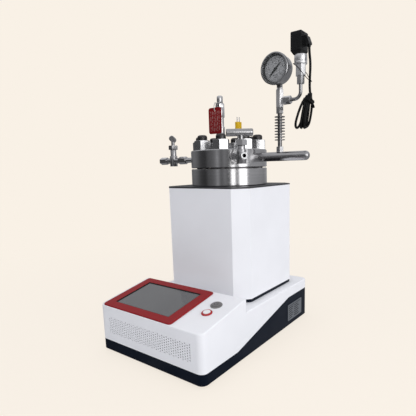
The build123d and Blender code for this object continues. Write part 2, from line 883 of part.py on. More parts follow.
# ---------------------------------------------------------------- gas arm, gauge and transmitter
def gas_arm():
    length = arm_reach - flange_radius + spotface_depth
    shank = port_depth - spotface_depth
    arm = rod(arm_radius, length) + rod(arm_shank, shank, 0, 0, -shank)
    arm = fillet(arm.edges().sort_by(Axis.Z)[-1:], arm_crown)
    arm -= rod(arm_bore, stem_from_axis - flange_radius + port_depth, 0, 0, -shank)
    arm = outward(arm, 0, flange_radius - spotface_depth, port_z)
    stem_x = axis_x + stem_from_axis
    seat = port_z + arm_radius - seat_depth
    arm -= rod(stem_nut_flats / 2 + seat_room, arm_radius, stem_x, axis_y, seat)
    arm -= rod(stem_bore, 2 * arm_radius, stem_x, axis_y, port_z - 1)
    parts["arm_rod"] = arm

    nut_low = hexagon(stem_nut_flats, stem_nut_height) - rod(core_radius, stem_nut_height)
    top_z = tee_base - stem_nut_height
    tube_nuts.extend([Pos(stem_x, axis_y, seat) * nut_low, Pos(stem_x, axis_y, top_z) * nut_low])
    tube = rod(core_radius, tee_base - seat)
    fin_z = [port_z + fin_first + n * fin_pitch - seat for n in range(fin_count)]
    tube += [rod(fin_radius, fin_thick, 0, 0, z) for z in fin_z]
    tube -= rod(stem_bore, tee_base - seat)
    parts["finned_tube"] = Pos(stem_x, axis_y, seat) * tube

    tee = hexagon(tee_flats, tee_height) + rod(tee_neck_radius, tee_neck, 0, 0, tee_height)
    tee -= rod(stem_bore, tee_height)
    side_port = rod(tee_port_radius, tee_flats / 2 + tee_port_proud)
    side_port = Pos(0, 0, port_z + branch_height - tee_base) * Rot(0, 90, 0) * side_port
    parts["gauge_tee"] = Pos(stem_x, axis_y, tee_base) * (tee + side_port)


def gauge():
    """Bottom-entry gauge: pressed case, bayonet bezel, dial, pointer and lens, facing -Y."""
    stem_x = axis_x + stem_from_axis
    place = Pos(stem_x, axis_y - gauge_front, gauge_z) * Rot(-90, 0, 0)
    case_front = lens_inset + lens_thick + 0.2
    back = gauge_case_depth
    case = turned(
        [
            (0, back),
            (gauge_case_radius - 4, back),
            (gauge_case_radius, back - 4),
            (gauge_case_radius, case_front),
            (gauge_case_radius - gauge_wall, case_front),
            (gauge_case_radius - gauge_wall, back - 5),
            (gauge_case_radius - 5, back - gauge_wall),
            (0, back - gauge_wall),
        ]
    )
    case = place * case
    neck_base = tee_base + tee_height + tee_neck
    neck_top = gauge_z - gauge_case_radius + 4
    neck = block(gauge_neck_flats, gauge_neck_flats, neck_top - neck_base, stem_x, axis_y, neck_base)
    inner = place * rod(gauge_case_radius - gauge_wall, back - gauge_wall)
    parts["gauge_case"] = case + (neck - inner)
    bezel = turned(
        [
            (gauge_bezel_radius - gauge_rim, 0),
            (gauge_bezel_radius - 1.6, 0),
            (gauge_bezel_radius, 1.6),
            (gauge_bezel_radius, gauge_bezel_lap),
            (gauge_case_radius + 0.2, gauge_bezel_lap),
            (gauge_case_radius + 0.2, lens_inset),
            (gauge_bezel_radius - gauge_rim, lens_inset),
        ]
    )
    parts["gauge_bezel"] = place * bezel
    parts["gauge_lens"] = place * rod(gauge_case_radius, lens_thick, 0, 0, lens_inset)
    parts["gauge_dial"] = place * rod(gauge_case_radius - gauge_wall - 0.2, dial_thick, 0, 0, dial_inset)
    half_outline = [(-pointer_tail, 1.0), (0, 1.5), (pointer_long, 0.35)]
    other_half = [(a, -b) for a, b in reversed(half_outline)]
    needle = make_face(Polyline(half_outline + other_half, close=True))
    needle = extrude(needle, pointer_thick) + rod(pointer_hub, pointer_thick + 0.4)
    needle = Pos(0, 0, dial_inset - pointer_thick - 1) * Rot(0, 0, pointer_rest) * needle
    parts["gauge_pointer"] = place * needle


def branch():
    branch_z = port_z + branch_height
    start = stem_from_axis + tee_flats / 2 + tee_port_proud
    nut = hexagon(branch_nut_flats, branch_nut_length) - rod(branch_radius, branch_nut_length)
    side_nut = outward(nut, 0, start, branch_z)
    upright = hexagon(transmitter_nut_flats, transmitter_nut_height)
    upright -= rod(branch_radius, transmitter_nut_height)
    upright = Pos(transmitter_x, axis_y, nut_base_z) * upright
    tube_nuts.extend([side_nut, upright])
    path = FilletPolyline(
        [
            (axis_x + start, axis_y, branch_z),
            (transmitter_x, axis_y, branch_z),
            (transmitter_x, axis_y, nut_base_z + transmitter_nut_height),
        ],
        radius=branch_bend,
    )
    section = Plane(origin=path @ 0, z_dir=path % 0) * Circle(branch_radius)
    parts["branch_tube"] = sweep(section, path)

    body = hexagon(adaptor_flats, adaptor_height) + rod(barrel_radius, barrel_height, 0, 0, adaptor_height)
    groove = rod(barrel_radius + 1, barrel_groove) - rod(barrel_radius - 0.8, barrel_groove)
    groove = Pos(0, 0, adaptor_height + 4) * groove
    parts["transmitter_body"] = Pos(transmitter_x, axis_y, adaptor_z) * (body - groove)

    plug = block(plug_width, plug_depth, plug_height)
    plug = fillet(plug.edges().filter_by(Axis.Z), plug_round)
    plug = chamfer(plug.edges().group_by(Axis.Z)[-1], 1.2)
    plug &= tapered_foot()
    face = plug_width / 2
    outlet = make_face(
        Polyline(
            [
                (face - 0.5, outlet_base),
                (face + outlet_reach, outlet_base),
                (face + outlet_reach, outlet_base + outlet_knee),
                (face + outlet_top_reach, outlet_base + outlet_height - 1),
                (face - 0.5, outlet_base + outlet_height),
            ],
            close=True,
        )
    )
    outlet = Pos(0, -outlet_forward, 0) * extrude(Plane.XZ * outlet, outlet_depth / 2, both=True)
    parts["din_plug"] = Pos(plug_x, plug_y, plug_z) * (plug + outlet)
    gland = rod(gland_radius, gland_length) - rod(cable_diameter / 2, gland_length)
    parts["cable_gland"] = Pos(axis_x + cable_from_axis, axis_y, gland_z) * gland


def tapered_foot():
    """Form that draws the connector's foot in on all four sides."""
    wide = plug_width + 0.02
    deep = plug_depth + 0.02
    small = Rectangle(plug_width - 2 * plug_foot_drawn_in, plug_depth - 2 * plug_foot_drawn_in)
    foot = loft([small, Pos(0, 0, plug_foot_height) * Rectangle(wide, deep)])
    return foot + block(wide, deep, plug_height - plug_foot_height, 0, 0, plug_foot_height)


def cable():
    """Signal cable: hangs from the gland, then its spare length is tied in a hanging hank."""
    top = gland_z + gland_length
    hank_top = port_z + hank_outline[0][1]
    exit_x = axis_x + cable_from_axis
    points = [Vector(exit_x, axis_y, top)]
    points += [Vector(exit_x + out, axis_y + back, port_z + up) for out, back, up in cable_bends]
    points.append(Vector(axis_x + hank_from_axis, axis_y, hank_top))
    radii = []
    for before, at, after in zip(points, points[1:], points[2:]):
        first = at - before
        second = after - at
        turn = math.radians(first.get_angle(second))
        radii.append(0.45 * min(first.length, second.length) / math.tan(turn / 2))
    path = FilletPolyline(*points, radius=radii)
    section = Plane(origin=path @ 0, z_dir=path % 0) * Circle(cable_diameter / 2)
    tube = sweep(section, path)
    print("cable points", [tuple(round(c, 2) for c in p) for p in points])
    print("cable radii", [round(r, 1) for r in radii])
    stretched = math.pi * cable_diameter ** 2 / 4 * path.length
    print("cable volume", round(tube.volume, 1), "section x length", round(stretched, 1))
    parts["cable_drop"] = tube

    face = fillet(make_face(Polyline(hank_outline, close=True)).vertices(), hank_round)
    hank = extrude(Plane.XZ * face, hank_front + hank_back)
    hang = Pos(axis_x + hank_from_axis, axis_y, port_z) * Rot(0, 0, hank_turned)
    hank = hang * Pos(0, hank_back, 0) * hank
    parts["cable_hank"] = hank

    # strap round the hank, and the wire that ties the cable up to the transmitter
    left, right = hank_span(strap_height)
    wide = right - left + 2 * strap_thick
    deep = hank_front + hank_back + 2 * strap_thick
    middle = ((left + right) / 2, (hank_back - hank_front) / 2, strap_height)
    strap = hang * block(wide, deep, strap_wide, *middle) - hank
    route = [
        (21.4, 1.4, 130.0),
        (21.3, -4.4, 130.2),
        (15.0, -5.0, 134.0),
        (4.0, -13.2, 150.0),
        (-9.2, -11.2, 161.5),
        (-13.6, 0.0, 164.5),
        (-9.2, 11.2, 163.0),
        (4.0, 13.2, 151.0),
        (15.0, 4.6, 134.5),
        (20.6, 3.4, 131.0),
    ]
    points = [Vector(transmitter_x + px, axis_y + py, port_z + pz) for px, py, pz in route]
    parts["cable_ties"] = Compound([strap, wire_piece(points, 0.6, 1.2)])


def hank_span(height):
    """The hank's left and right sides at a height."""
    crossings = []
    for (x0, z0), (x1, z1) in zip(hank_outline, hank_outline[1:] + hank_outline[:1]):
        if min(z0, z1) <= height < max(z0, z1):
            crossings.append(x0 + (x1 - x0) * (height - z0) / (z1 - z0))
    return min(crossings), max(crossings)


# ---------------------------------------------------------------- needle valves
def needle_valve(name, angle, reach, neck_top, bar_height, bar_length, bar_angle, slide=0.0):
    """Body with bonnet neck, gland nut, union and nipple, and the T-bar handle on its stem."""
    body = Rot(0, 90, 0) * Cylinder(valve_barrel_radius, 2 * valve_half_length)
    body += rod(valve_core_radius, valve_core_drop + valve_core_rise, 0, 0, -valve_core_drop)
    body += rod(valve_neck_radius, neck_top)
    male = Rot(0, 90, 0) * rod(male_radius, male_length, 0, 0, valve_half_length)
    body += male
    body -= Rot(0, 90, 0) * Cylinder(valve_bore, 2 * (valve_half_length + male_length) + 2)
    body -= rod(stem_radius + stem_clearance, neck_top, 0, 0, 0)
    place = Pos(axis_x, axis_y, port_z) * Rot(0, 0, angle) * Pos(reach, 0, 0)
    gland = hexagon(gland_flats, gland_height, chamfer_size=1.0)
    gland -= rod(stem_radius + stem_clearance, gland_height)
    stem = rod(stem_radius, bar_height - stem_foot, 0, 0, stem_foot)
    bar = Rot(0, 90, 0) * Cylinder(bar_radius, bar_length)
    bar = chamfer(bar.edges().filter_by(GeomType.CIRCLE), 1.2)
    handle = stem + Pos(0, 0, bar_height) * Rot(0, 0, bar_angle - angle) * Pos(slide, 0, 0) * bar
    parts[name + "_handle"] = place * handle

    start = flange_radius - port_depth
    union_start = reach - valve_half_length - union_length
    nipple = rod(port_radius - port_fit, port_depth - spotface_depth)
    nipple += hexagon(nipple_hex_flats, nipple_hex_length, 0, 0, port_depth - spotface_depth)
    nipple += rod(nipple_radius, reach - valve_half_length - start)
    nipple -= rod(valve_bore, reach - valve_half_length - start)
    union = hexagon(union_flats, union_length) - rod(nipple_radius, union_length)
    return {
        "bodies": place * body,
        "glands": place * Pos(0, 0, neck_top) * gland,
        "nipples": outward(nipple, angle, start, port_z),
        "unions": outward(union, angle, union_start, port_z),
    }


def valves():
    left = needle_valve(
        "left_valve", left_angle, left_reach, left_neck_top, left_bar_height, left_bar_length, left_bar_angle
    )
    front = needle_valve(
        "front_valve", front_angle, front_reach, front_neck_top, front_bar_height, front_bar_length,
        front_bar_angle, front_bar_slide,
    )
    for group in ("bodies", "glands", "nipples"):
        parts["valve_" + group] = Compound([left[group], front[group]])
    cap = hexagon(cap_nut_flats, cap_nut_length) - rod(male_radius, male_length)
    cap -= rod(valve_bore, cap_nut_length)
    cap = outward(cap, left_angle, left_reach + valve_half_length, port_z)
    tube_nuts.extend([cap, left["unions"], front["unions"]])
    parts["tube_nuts"] = Compound(tube_nuts)


console()
screen()
console_fittings()
tower()
heater()
vessel()
lid()
relief_valve()
thermocouple()
gas_arm()
gauge()
branch()
cable()
valves()

for name, piece in parts.items():
    export_step(piece, "parts/" + name + ".step")
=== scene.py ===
import json
import math

import bmesh
import bpy
from mathutils import Matrix, Vector

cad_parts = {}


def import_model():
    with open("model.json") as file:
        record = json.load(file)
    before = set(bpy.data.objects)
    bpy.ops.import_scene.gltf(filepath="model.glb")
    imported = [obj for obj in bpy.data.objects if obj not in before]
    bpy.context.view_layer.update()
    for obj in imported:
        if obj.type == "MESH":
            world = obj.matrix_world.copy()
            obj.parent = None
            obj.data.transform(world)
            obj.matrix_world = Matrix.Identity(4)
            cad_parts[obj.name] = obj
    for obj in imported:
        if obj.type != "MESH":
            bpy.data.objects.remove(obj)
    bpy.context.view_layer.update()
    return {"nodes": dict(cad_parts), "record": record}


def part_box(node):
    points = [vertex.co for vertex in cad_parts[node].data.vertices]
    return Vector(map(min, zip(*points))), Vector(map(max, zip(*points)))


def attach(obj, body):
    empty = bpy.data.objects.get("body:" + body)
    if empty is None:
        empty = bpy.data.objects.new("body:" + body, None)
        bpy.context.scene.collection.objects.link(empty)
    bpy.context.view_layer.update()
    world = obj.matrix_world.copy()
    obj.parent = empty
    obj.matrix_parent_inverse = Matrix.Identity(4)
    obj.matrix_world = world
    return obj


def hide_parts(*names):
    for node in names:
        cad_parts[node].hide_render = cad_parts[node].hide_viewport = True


MM = 0.001
WELD_DISTANCE = 0.01 * MM                # corners nearer than this are one corner

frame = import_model()
NODES = frame["nodes"]


# ---------------------------------------------------------------- places read from the frame
def centre(node):
    low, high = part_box(node)
    return (low + high) / 2


def low(node):
    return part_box(node)[0]


def high(node):
    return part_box(node)[1]


AXIS = centre("vessel")                  # the vessel's axis, x and y
PORT_Z = centre("valve_nipples").z       # height of the side ports in the lid


# ---------------------------------------------------------------- camera
CAMERA_PLACE = Vector((high("base_tray").x + 0.3592, low("base_tray").y - 0.4055, 0.3440))
CAMERA_HEADING = math.radians(36.10)     # turned left from looking along +Y
CAMERA_PITCH = math.radians(-9.51)
CAMERA_ROLL = math.radians(-1.41)
SENSOR = 36.0
IMAGE_SIDE = 416
FOCAL_PIXELS = 375.3
PRINCIPAL_X = 232.5                      # pixels from the picture's left edge
PRINCIPAL_Y = 230.6                      # pixels from its top edge


def camera():
    data = bpy.data.cameras.new("camera")
    data.sensor_width = SENSOR
    data.lens = FOCAL_PIXELS / IMAGE_SIDE * SENSOR
    data.shift_x = 0.5 - PRINCIPAL_X / IMAGE_SIDE
    data.shift_y = PRINCIPAL_Y / IMAGE_SIDE - 0.5
    data.clip_start = 0.01
    data.clip_end = 50.0
    eye = bpy.data.objects.new("camera", data)
    turn = Matrix.Rotation(CAMERA_HEADING, 4, "Z")
    tilt = Matrix.Rotation(math.radians(90) + CAMERA_PITCH, 4, "X")
    roll = Matrix.Rotation(CAMERA_ROLL, 4, "Z")
    eye.matrix_world = Matrix.Translation(CAMERA_PLACE) @ turn @ tilt @ roll
    bpy.context.scene.collection.objects.link(eye)
    bpy.context.scene.camera = eye


camera()


# ---------------------------------------------------------------- material tools
NOISE_BAND = (0.3, 0.7)                  # where nearly all of a noise's values lie


def srgb(red, green, blue):
    """A linear colour from 0 to 255 display values."""
    def linear(value):
        value /= 255
        return value / 12.92 if value <= 0.04045 else ((value + 0.055) / 1.055) ** 2.4
    return (linear(red), linear(green), linear(blue), 1.0)


class Finish:
    """A principled material under construction, with object coordinates to hang textures on."""

    def __init__(self, name, colour, roughness, metallic=0.0):
        self.material = bpy.data.materials.new(name)
        self.material.use_nodes = True
        self.tree = self.material.node_tree
        self.shader = self.tree.nodes["Principled BSDF"]
        self.set("Base Color", colour)
        self.set("Roughness", roughness)
        self.set("Metallic", metallic)
        self.colour = colour
        self.roughness = roughness
        self.place = self.node("ShaderNodeTexCoord").outputs["Object"]

    def node(self, kind, **settings):
        made = self.tree.nodes.new(kind)
        for name, value in settings.items():
            setattr(made, name, value)
        return made

    def link(self, source, target):
        self.tree.links.new(source, target)

    def set(self, socket, value):
        self.shader.inputs[socket].default_value = value

    def math(self, operation, first, second=0.0):
        made = self.node("ShaderNodeMath", operation=operation)
        for socket, value in zip(made.inputs, (first, second)):
            if isinstance(value, (int, float)):
                socket.default_value = value
            else:
                self.link(value, socket)
        return made.outputs[0]

    def scaled(self, by, place=None):
        """The coordinates, each axis multiplied by its own number."""
        made = self.node("ShaderNodeVectorMath", operation="MULTIPLY")
        self.link(place or self.place, made.inputs[0])
        made.inputs[1].default_value = by
        return made.outputs[0]

    def noise(self, size, detail=3.0, place=None, stretch=(1, 1, 1)):
        """Noise from 0 to 1 whose features are about size metres across."""
        made = self.node("ShaderNodeTexNoise")
        made.inputs["Scale"].default_value = 1.0
        made.inputs["Detail"].default_value = detail
        self.link(self.scaled([s / size for s in stretch], place), made.inputs["Vector"])
        return made.outputs["Fac"]

    def weigh(self, first, second, share):
        """The sum of two values, the first by its share and the second by the rest."""
        own = self.math("MULTIPLY", first, share)
        rest = self.math("MULTIPLY", second, 1 - share)
        return self.math("ADD", own, rest)

    def span(self, value, least, most):
        """A noise's values, spread from least to most."""
        made = self.node("ShaderNodeMapRange")
        self.link(value, made.inputs["Value"])
        names = ("From Min", "From Max", "To Min", "To Max")
        for name, number in zip(names, (*NOISE_BAND, least, most)):
            made.inputs[name].default_value = number
        return made.outputs["Result"]

    def rough(self, value, spread):
        """Roughness varies by the value, spread to each side of the finish's own."""
        varied = self.span(value, self.roughness - spread, self.roughness + spread)
        self.link(varied, self.shader.inputs["Roughness"])

    def tint(self, value, other):
        """The colour runs from its own to another by the value."""
        made = self.node("ShaderNodeMix", data_type="RGBA")
        self.link(self.span(value, 0.0, 1.0), made.inputs["Factor"])
        made.inputs["A"].default_value = self.colour
        made.inputs["B"].default_value = other
        self.link(made.outputs["Result"], self.shader.inputs["Base Color"])

    def bump(self, height, distance):
        """Relief of the given height in metres."""
        made = self.node("ShaderNodeBump")
        made.inputs["Strength"].default_value = 1.0
        made.inputs["Distance"].default_value = distance
        self.link(height, made.inputs["Height"])
        self.link(made.outputs["Normal"], self.shader.inputs["Normal"])


def shade(colour, factor):
    return tuple(min(1.0, c * factor) for c in colour[:3]) + (1.0,)


def powder_coat(name, colour, roughness, grain=0.0011, depth=0.000012, gloss=0.5):
    """Baked powder coat: a fine orange peel, with faint handling marks in the gloss."""
    made = Finish(name, colour, roughness)
    made.set("Specular IOR Level", gloss)
    made.tint(made.noise(0.09, 2.0), shade(colour, 0.955))
    made.rough(made.noise(0.035, 4.0), 0.05)
    made.bump(made.noise(grain, 2.0), depth)
    return made.material


def turned_steel(name, colour, roughness, axis, pitch=0.00045, grain=0.3):
    """Lathe-turned steel: fine rings round a vertical axis, on flat faces and on round walls."""
    made = Finish(name, colour, roughness, 1.0)
    across = made.node("ShaderNodeVectorMath", operation="SUBTRACT")
    made.link(made.scaled((1, 1, 0)), across.inputs[0])
    across.inputs[1].default_value = (axis.x, axis.y, 0)
    radius = made.node("ShaderNodeVectorMath", operation="LENGTH")
    made.link(across.outputs[0], radius.inputs[0])
    split = made.node("ShaderNodeSeparateXYZ")
    made.link(made.place, split.inputs[0])
    ring = made.node("ShaderNodeCombineXYZ")
    made.link(radius.outputs["Value"], ring.inputs["X"])
    made.link(split.outputs["Z"], ring.inputs["Y"])
    fine = made.noise(pitch, 2.0, ring.outputs[0])
    broad = made.noise(pitch * 9, 3.0, ring.outputs[0])
    smear = made.noise(0.03, 4.0)
    both = made.weigh(fine, broad, 0.7)
    made.rough(made.weigh(both, smear, 0.6), 0.06)
    made.tint(made.weigh(broad, smear, 0.5), shade(colour, 0.82))
    made.bump(both, 0.000012)
    tangent = made.node("ShaderNodeTangent", direction_type="RADIAL", axis="Z")
    made.link(tangent.outputs[0], made.shader.inputs["Tangent"])
    made.set("Anisotropic", grain)
    return made.material


def polished_steel(name, colour, roughness, marks=0.0008):
    """Machined and polished fittings: fine random scratches and a soft haze."""
    made = Finish(name, colour, roughness, 1.0)
    scratch = made.noise(marks, 2.0, stretch=(1.0, 1.0, 0.12))
    haze = made.noise(0.012, 4.0)
    made.rough(made.weigh(scratch, haze, 0.5), 0.07)
    made.tint(haze, shade(colour, 0.86))
    made.bump(scratch, 0.000006)
    return made.material


def moulded(name, colour, roughness, grain=0.0004, depth=0.00001, lighter=1.35, gloss=0.5):
    """Moulded plastic or rubber: a fine grain, and a faint bloom in its colour."""
    made = Finish(name, colour, roughness)
    made.set("Specular IOR Level", gloss)
    made.tint(made.noise(0.02, 3.0), shade(colour, lighter))
    made.rough(made.noise(0.008, 3.0), 0.06)
    made.bump(made.noise(grain, 2.0), depth)
    return made.material


def brushed_sheet(name, colour, roughness, stretch=(0.03, 1.0, 1.0)):
    """Rolled or brushed sheet, its grain along one axis."""
    made = Finish(name, colour, roughness, 1.0)
    grain = made.noise(0.0006, 3.0, stretch=stretch)
    made.rough(grain, 0.08)
    made.tint(made.noise(0.02, 3.0), shade(colour, 0.88))
    made.bump(grain, 0.000008)
    return made.material


def wool(name, colour):
    """Fibre insulation: dull tufts, taller than they are wide."""
    made = Finish(name, colour, 0.95)
    fibre = made.noise(0.002, 5.0, stretch=(1.0, 1.0, 0.3))
    made.tint(made.noise(0.012, 4.0), shade(colour, 0.8))
    made.bump(fibre, 0.0006)
    return made.material


def clear_lens(name):
    """Thin clear window: mostly see-through, with the gloss of its surface."""
    made = Finish(name, (0.4, 0.42, 0.42, 1.0), 0.04)
    made.rough(made.noise(0.01, 2.0), 0.02)
    made.set("Alpha", 0.05)
    return made.material


def screen_glass(name):
    """Dark cover glass over a display that is off."""
    made = Finish(name, srgb(74, 74, 74), 0.16)
    made.tint(made.noise(0.06, 2.0), srgb(66, 66, 67))
    made.rough(made.noise(0.015, 4.0), 0.03)
    made.set("Coat Weight", 0.6)
    made.set("Coat Roughness", 0.08)
    return made.material


MATERIALS = {
    "navy_paint": powder_coat("navy_paint", srgb(9, 18, 32), 0.4, gloss=0.1),
    "white_paint": powder_coat("white_paint", srgb(240, 240, 243), 0.38),
    "foot_rubber": moulded("foot_rubber", srgb(24, 24, 25), 0.8),
    "red_bezel": powder_coat("red_bezel", srgb(142, 36, 39), 0.34, 0.0007, gloss=0.07),
    "screen_glass": screen_glass("screen_glass"),
    "dark_plastic": moulded("dark_plastic", srgb(36, 36, 38), 0.6, gloss=0.25),
    "dark_plastic_motor": moulded("dark_plastic_motor", srgb(46, 46, 48), 0.55),
    "red_ring": powder_coat("red_ring", srgb(170, 24, 30), 0.25, 0.0006),
    "white_cap": moulded("white_cap", srgb(236, 236, 236), 0.3, lighter=0.96),
    "dark_metal": turned_steel("dark_metal", srgb(150, 148, 147), 0.3, centre("power_button"), 0.0003),
    "bare_plate": brushed_sheet("bare_plate", srgb(150, 154, 160), 0.36),
    "black_plastic": moulded("black_plastic", srgb(13, 13, 14), 0.45, gloss=0.3),
    "green_board": moulded("green_board", srgb(20, 84, 46), 0.45),
    "zinc_sheet": brushed_sheet("zinc_sheet", srgb(172, 172, 170), 0.38),
    "dark_plate": powder_coat("dark_plate", srgb(34, 34, 38), 0.4),
    "heater_alloy": brushed_sheet("heater_alloy", srgb(176, 176, 178), 0.42, (1.0, 1.0, 0.05)),
    "fibre_wool": wool("fibre_wool", srgb(232, 228, 216)),
    "stainless": turned_steel("stainless", srgb(193, 192, 193), 0.17, AXIS),
    "nut_steel": polished_steel("nut_steel", srgb(222, 222, 223), 0.24),
    "stud_steel": turned_steel("stud_steel", srgb(84, 82, 82), 0.36, AXIS, 0.0004, 0.2),
    "white_ptfe": moulded("white_ptfe", srgb(236, 236, 232), 0.5, lighter=0.97),
    "fitting_steel": polished_steel("fitting_steel", srgb(214, 213, 214), 0.2),
    "gauge_steel": polished_steel("gauge_steel", srgb(168, 168, 169), 0.26),
    "red_tag": powder_coat("red_tag", srgb(122, 12, 16), 0.35, 0.0009, gloss=0.2),
    "yellow_plastic": moulded("yellow_plastic", srgb(226, 182, 30), 0.4, lighter=0.92, gloss=0.2),
    "clear_lens": clear_lens("clear_lens"),
    "dial_white": moulded("dial_white", srgb(158, 158, 159), 0.5, lighter=0.97),
    "cable_rubber": moulded("cable_rubber", srgb(8, 8, 9), 0.4, 0.0005, gloss=0.14),
}

TAG_PRINT = powder_coat("tag_print", srgb(168, 128, 124), 0.5, 0.0009, gloss=0.2)

# fittings given lit and shaded copies of their slot's steel: painted light and shade, the satin copy
# painted lighter and the other two darker for how bright those fittings look under the light; the satin
# copy is also rougher
SHADED_STEEL = polished_steel("fitting_steel_shaded", srgb(178, 177, 178), 0.2)
LIT_SATIN_STEEL = polished_steel("fitting_steel_lit_satin", srgb(236, 235, 236), 0.4)
DEEP_SHADED_STEEL = polished_steel("fitting_steel_deep_shade", srgb(132, 131, 132), 0.2)
LIT_AND_SHADED_STEEL = (
    (SHADED_STEEL, ("arm_rod", "branch_tube", "front_valve_handle", "left_valve_handle", "valve_bodies")),
    (LIT_SATIN_STEEL, ("transmitter_body", "gauge_tee")),
    (DEEP_SHADED_STEEL, ("finned_tube",)),
)

for part in frame["record"]["subparts"]:
    data = NODES[part["node"]].data
    data.materials.clear()
    data.materials.append(MATERIALS[part["material_slot"]])
# painted light and shade: these fittings take the lighter and darker copies of the steel
for steel, nodes in LIT_AND_SHADED_STEEL:
    for node in nodes:
        NODES[node].data.materials[0] = steel


# ---------------------------------------------------------------- building tools
EDGE_ANGLE = 38.0                        # degrees: where faces turn by more, there is an edge to break
NUT_EDGE_ANGLE = 24.0                    # the same on the nuts
BOX_FACES = ((3, 2, 1, 0), (4, 5, 6, 7), (0, 1, 5, 4), (1, 2, 6, 5), (2, 3, 7, 6), (3, 0, 4, 7))


def add(name, mesh, body, slot, material=None):
    """Puts a mesh in the scene as a piece riding on a body, finished as a slot of the record."""
    piece = bpy.data.objects.new(name, mesh)
    bpy.context.scene.collection.objects.link(piece)
    mesh.materials.append(material or MATERIALS[slot])
    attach(piece, body)
    return piece


def new_mesh(name, grid):
    """Ends the building of a mesh and names it."""
    mesh = bpy.data.meshes.new(name)
    grid.to_mesh(mesh)
    grid.free()
    return mesh


def evaluated_mesh(piece):
    """A mesh of the piece as its modifiers or its text make it."""
    bpy.context.view_layer.update()
    return bpy.data.meshes.new_from_object(piece.evaluated_get(bpy.context.evaluated_depsgraph_get()))


def slab(grid, frame_of, across, along, out):
    """A box in a mesh under construction; each of the three spans is (from, to) in metres."""
    (left, right), (near, far) = across, along
    corners = []
    for z in out:
        for x, y in ((left, near), (right, near), (right, far), (left, far)):
            corners.append(grid.verts.new(frame_of @ Vector((x, y, z))))
    for face in BOX_FACES:
        grid.faces.new([corners[k] for k in face])


def prism(grid, frame_of, radius, out, sides_count, place=(0.0, 0.0)):
    """A round bar in a mesh under construction, standing along the frame's third axis."""
    rings = []
    for z in out:
        ring = []
        for step in range(sides_count):
            angle = 2 * math.pi * step / sides_count
            x = place[0] + radius * math.cos(angle)
            y = place[1] + radius * math.sin(angle)
            ring.append(grid.verts.new(frame_of @ Vector((x, y, z))))
        rings.append(ring)
    grid.faces.new(list(reversed(rings[0])))
    grid.faces.new(rings[1])
    for step in range(sides_count):
        after = (step + 1) % sides_count
        grid.faces.new([rings[0][step], rings[0][after], rings[1][after], rings[1][step]])


def facing(normal, up=(0, 0, 1)):
    """Axes for a face: across to the right of someone looking at it, along upwards, and out of it."""
    out = Vector(normal).normalized()
    across = Vector(up).cross(out).normalized()
    return Matrix((across, out.cross(across), out)).transposed()


def spread(node, axes):
    """The node's least and greatest coordinates along the three axes of a frame."""
    turned = NODES[node].matrix_world
    places = [axes.transposed() @ (turned @ v.co) for v in NODES[node].data.vertices]
    least = Vector(min(p[k] for p in places) for k in range(3))
    most = Vector(max(p[k] for p in places) for k in range(3))
    return least, most


def seat(axes, place):
    """A frame with these axes, its origin at coordinates measured along them."""
    return Matrix.Translation(axes @ Vector(place)) @ axes.to_4x4()


def weld(piece):
    """Joins the corners that a CAD node's facets have in common."""
    joined = piece.modifiers.new("weld", "WELD")
    joined.merge_threshold = WELD_DISTANCE


def bevel(piece, width, sharper_than):
    """Breaks the edges that turn by more than an angle in degrees."""
    broken = piece.modifiers.new("bevel", "BEVEL")
    broken.width = width
    broken.segments = 2
    broken.limit_method = "ANGLE"
    broken.angle_limit = math.radians(sharper_than)
    broken.harden_normals = True


def cord_curve(name, radius, routes, section_steps, run_steps):
    """A curve with a round section, capped, along each route of points."""
    curve = bpy.data.curves.new(name, "CURVE")
    curve.dimensions = "3D"
    curve.bevel_depth = radius
    curve.bevel_resolution = section_steps
    curve.resolution_u = run_steps
    curve.use_fill_caps = True
    for route in routes:
        spline = curve.splines.new("NURBS")
        spline.points.add(len(route) - 1)
        for point, place in zip(spline.points, route):
            point.co = (*place, 1.0)
        spline.order_u = 3
        spline.use_endpoint_u = True
    return curve


# ---------------------------------------------------------------- signal cable
CABLE_DIAMETER = 4.4 * MM
# the hanging run: along the gas arm, across it, and height above the floor
CABLE_ROUTE = [
    (0.19175, 0.0610, 0.5548),
    (0.19175, 0.0610, 0.5444),
    (0.19415, 0.0618, 0.5234),
    (0.19355, 0.0602, 0.4954),
    (0.19315, 0.0610, 0.4724),
]
HANK_TURNED = math.radians(25)
HANK_MIDDLE = -2.0                       # the hank's middle, behind the hanging cable
# each turn: where its top lies across the hank and how high, the same for its bottom, and how far
# it is twisted out of the hank's depth
HANK_TURNS = [
    ((5.4, 105.0), (-7.4, 50.0), 0.46),
    ((2.6, 108.0), (-8.6, 49.0), 0.20),
    ((-1.4, 107.5), (-10.4, 51.5), 0.12),
    ((-5.2, 104.5), (-14.4, 49.2), 0.16),
    ((-8.6, 100.5), (-22.6, 49.4), 0.34),
]
HANK_TOP_RADIUS = 10.2
HANK_FOOT_RADIUS = 12.4
HANK_END_SHARE = 0.18                    # of a turn's control points, on each quarter of its folds
HANK_START = HANK_END_SHARE + 0.03       # share of the first turn that the hanging run stands for
HANK_LEAN_RUN = 20.0                     # a turn's twist sets in over this height below its top
TURN_STEPS = 18
# points of the hank: across it, behind the hanging cable, and height above the ports
HANK_ENTRY = [(0.0, 0.0, 121.0), (0.6, -2.4, 111.0), (2.4, -8.4, 100.0)]
HANK_TAIL = [
    (-8.6, -8.0, 99.0), (-5.4, -13.4, 97.0), (1.0, -15.6, 93.0), (5.6, -13.8, 88.5), (7.2, -9.6, 83.0),
]


def hank_place(across, back, above_port):
    """A point of the hank, in millimetres from the hanging cable and the side ports' height."""
    foot = Vector((CABLE_ROUTE[-1][0], CABLE_ROUTE[-1][1], PORT_Z))
    turned = Matrix.Rotation(HANK_TURNED, 3, "Z")
    return foot + turned @ Vector((across, back, above_port)) * MM


def eased(value):
    """Runs from 0 to 1 with level ends."""
    value = min(1.0, max(0.0, value))
    return value * value * (3 - 2 * value)


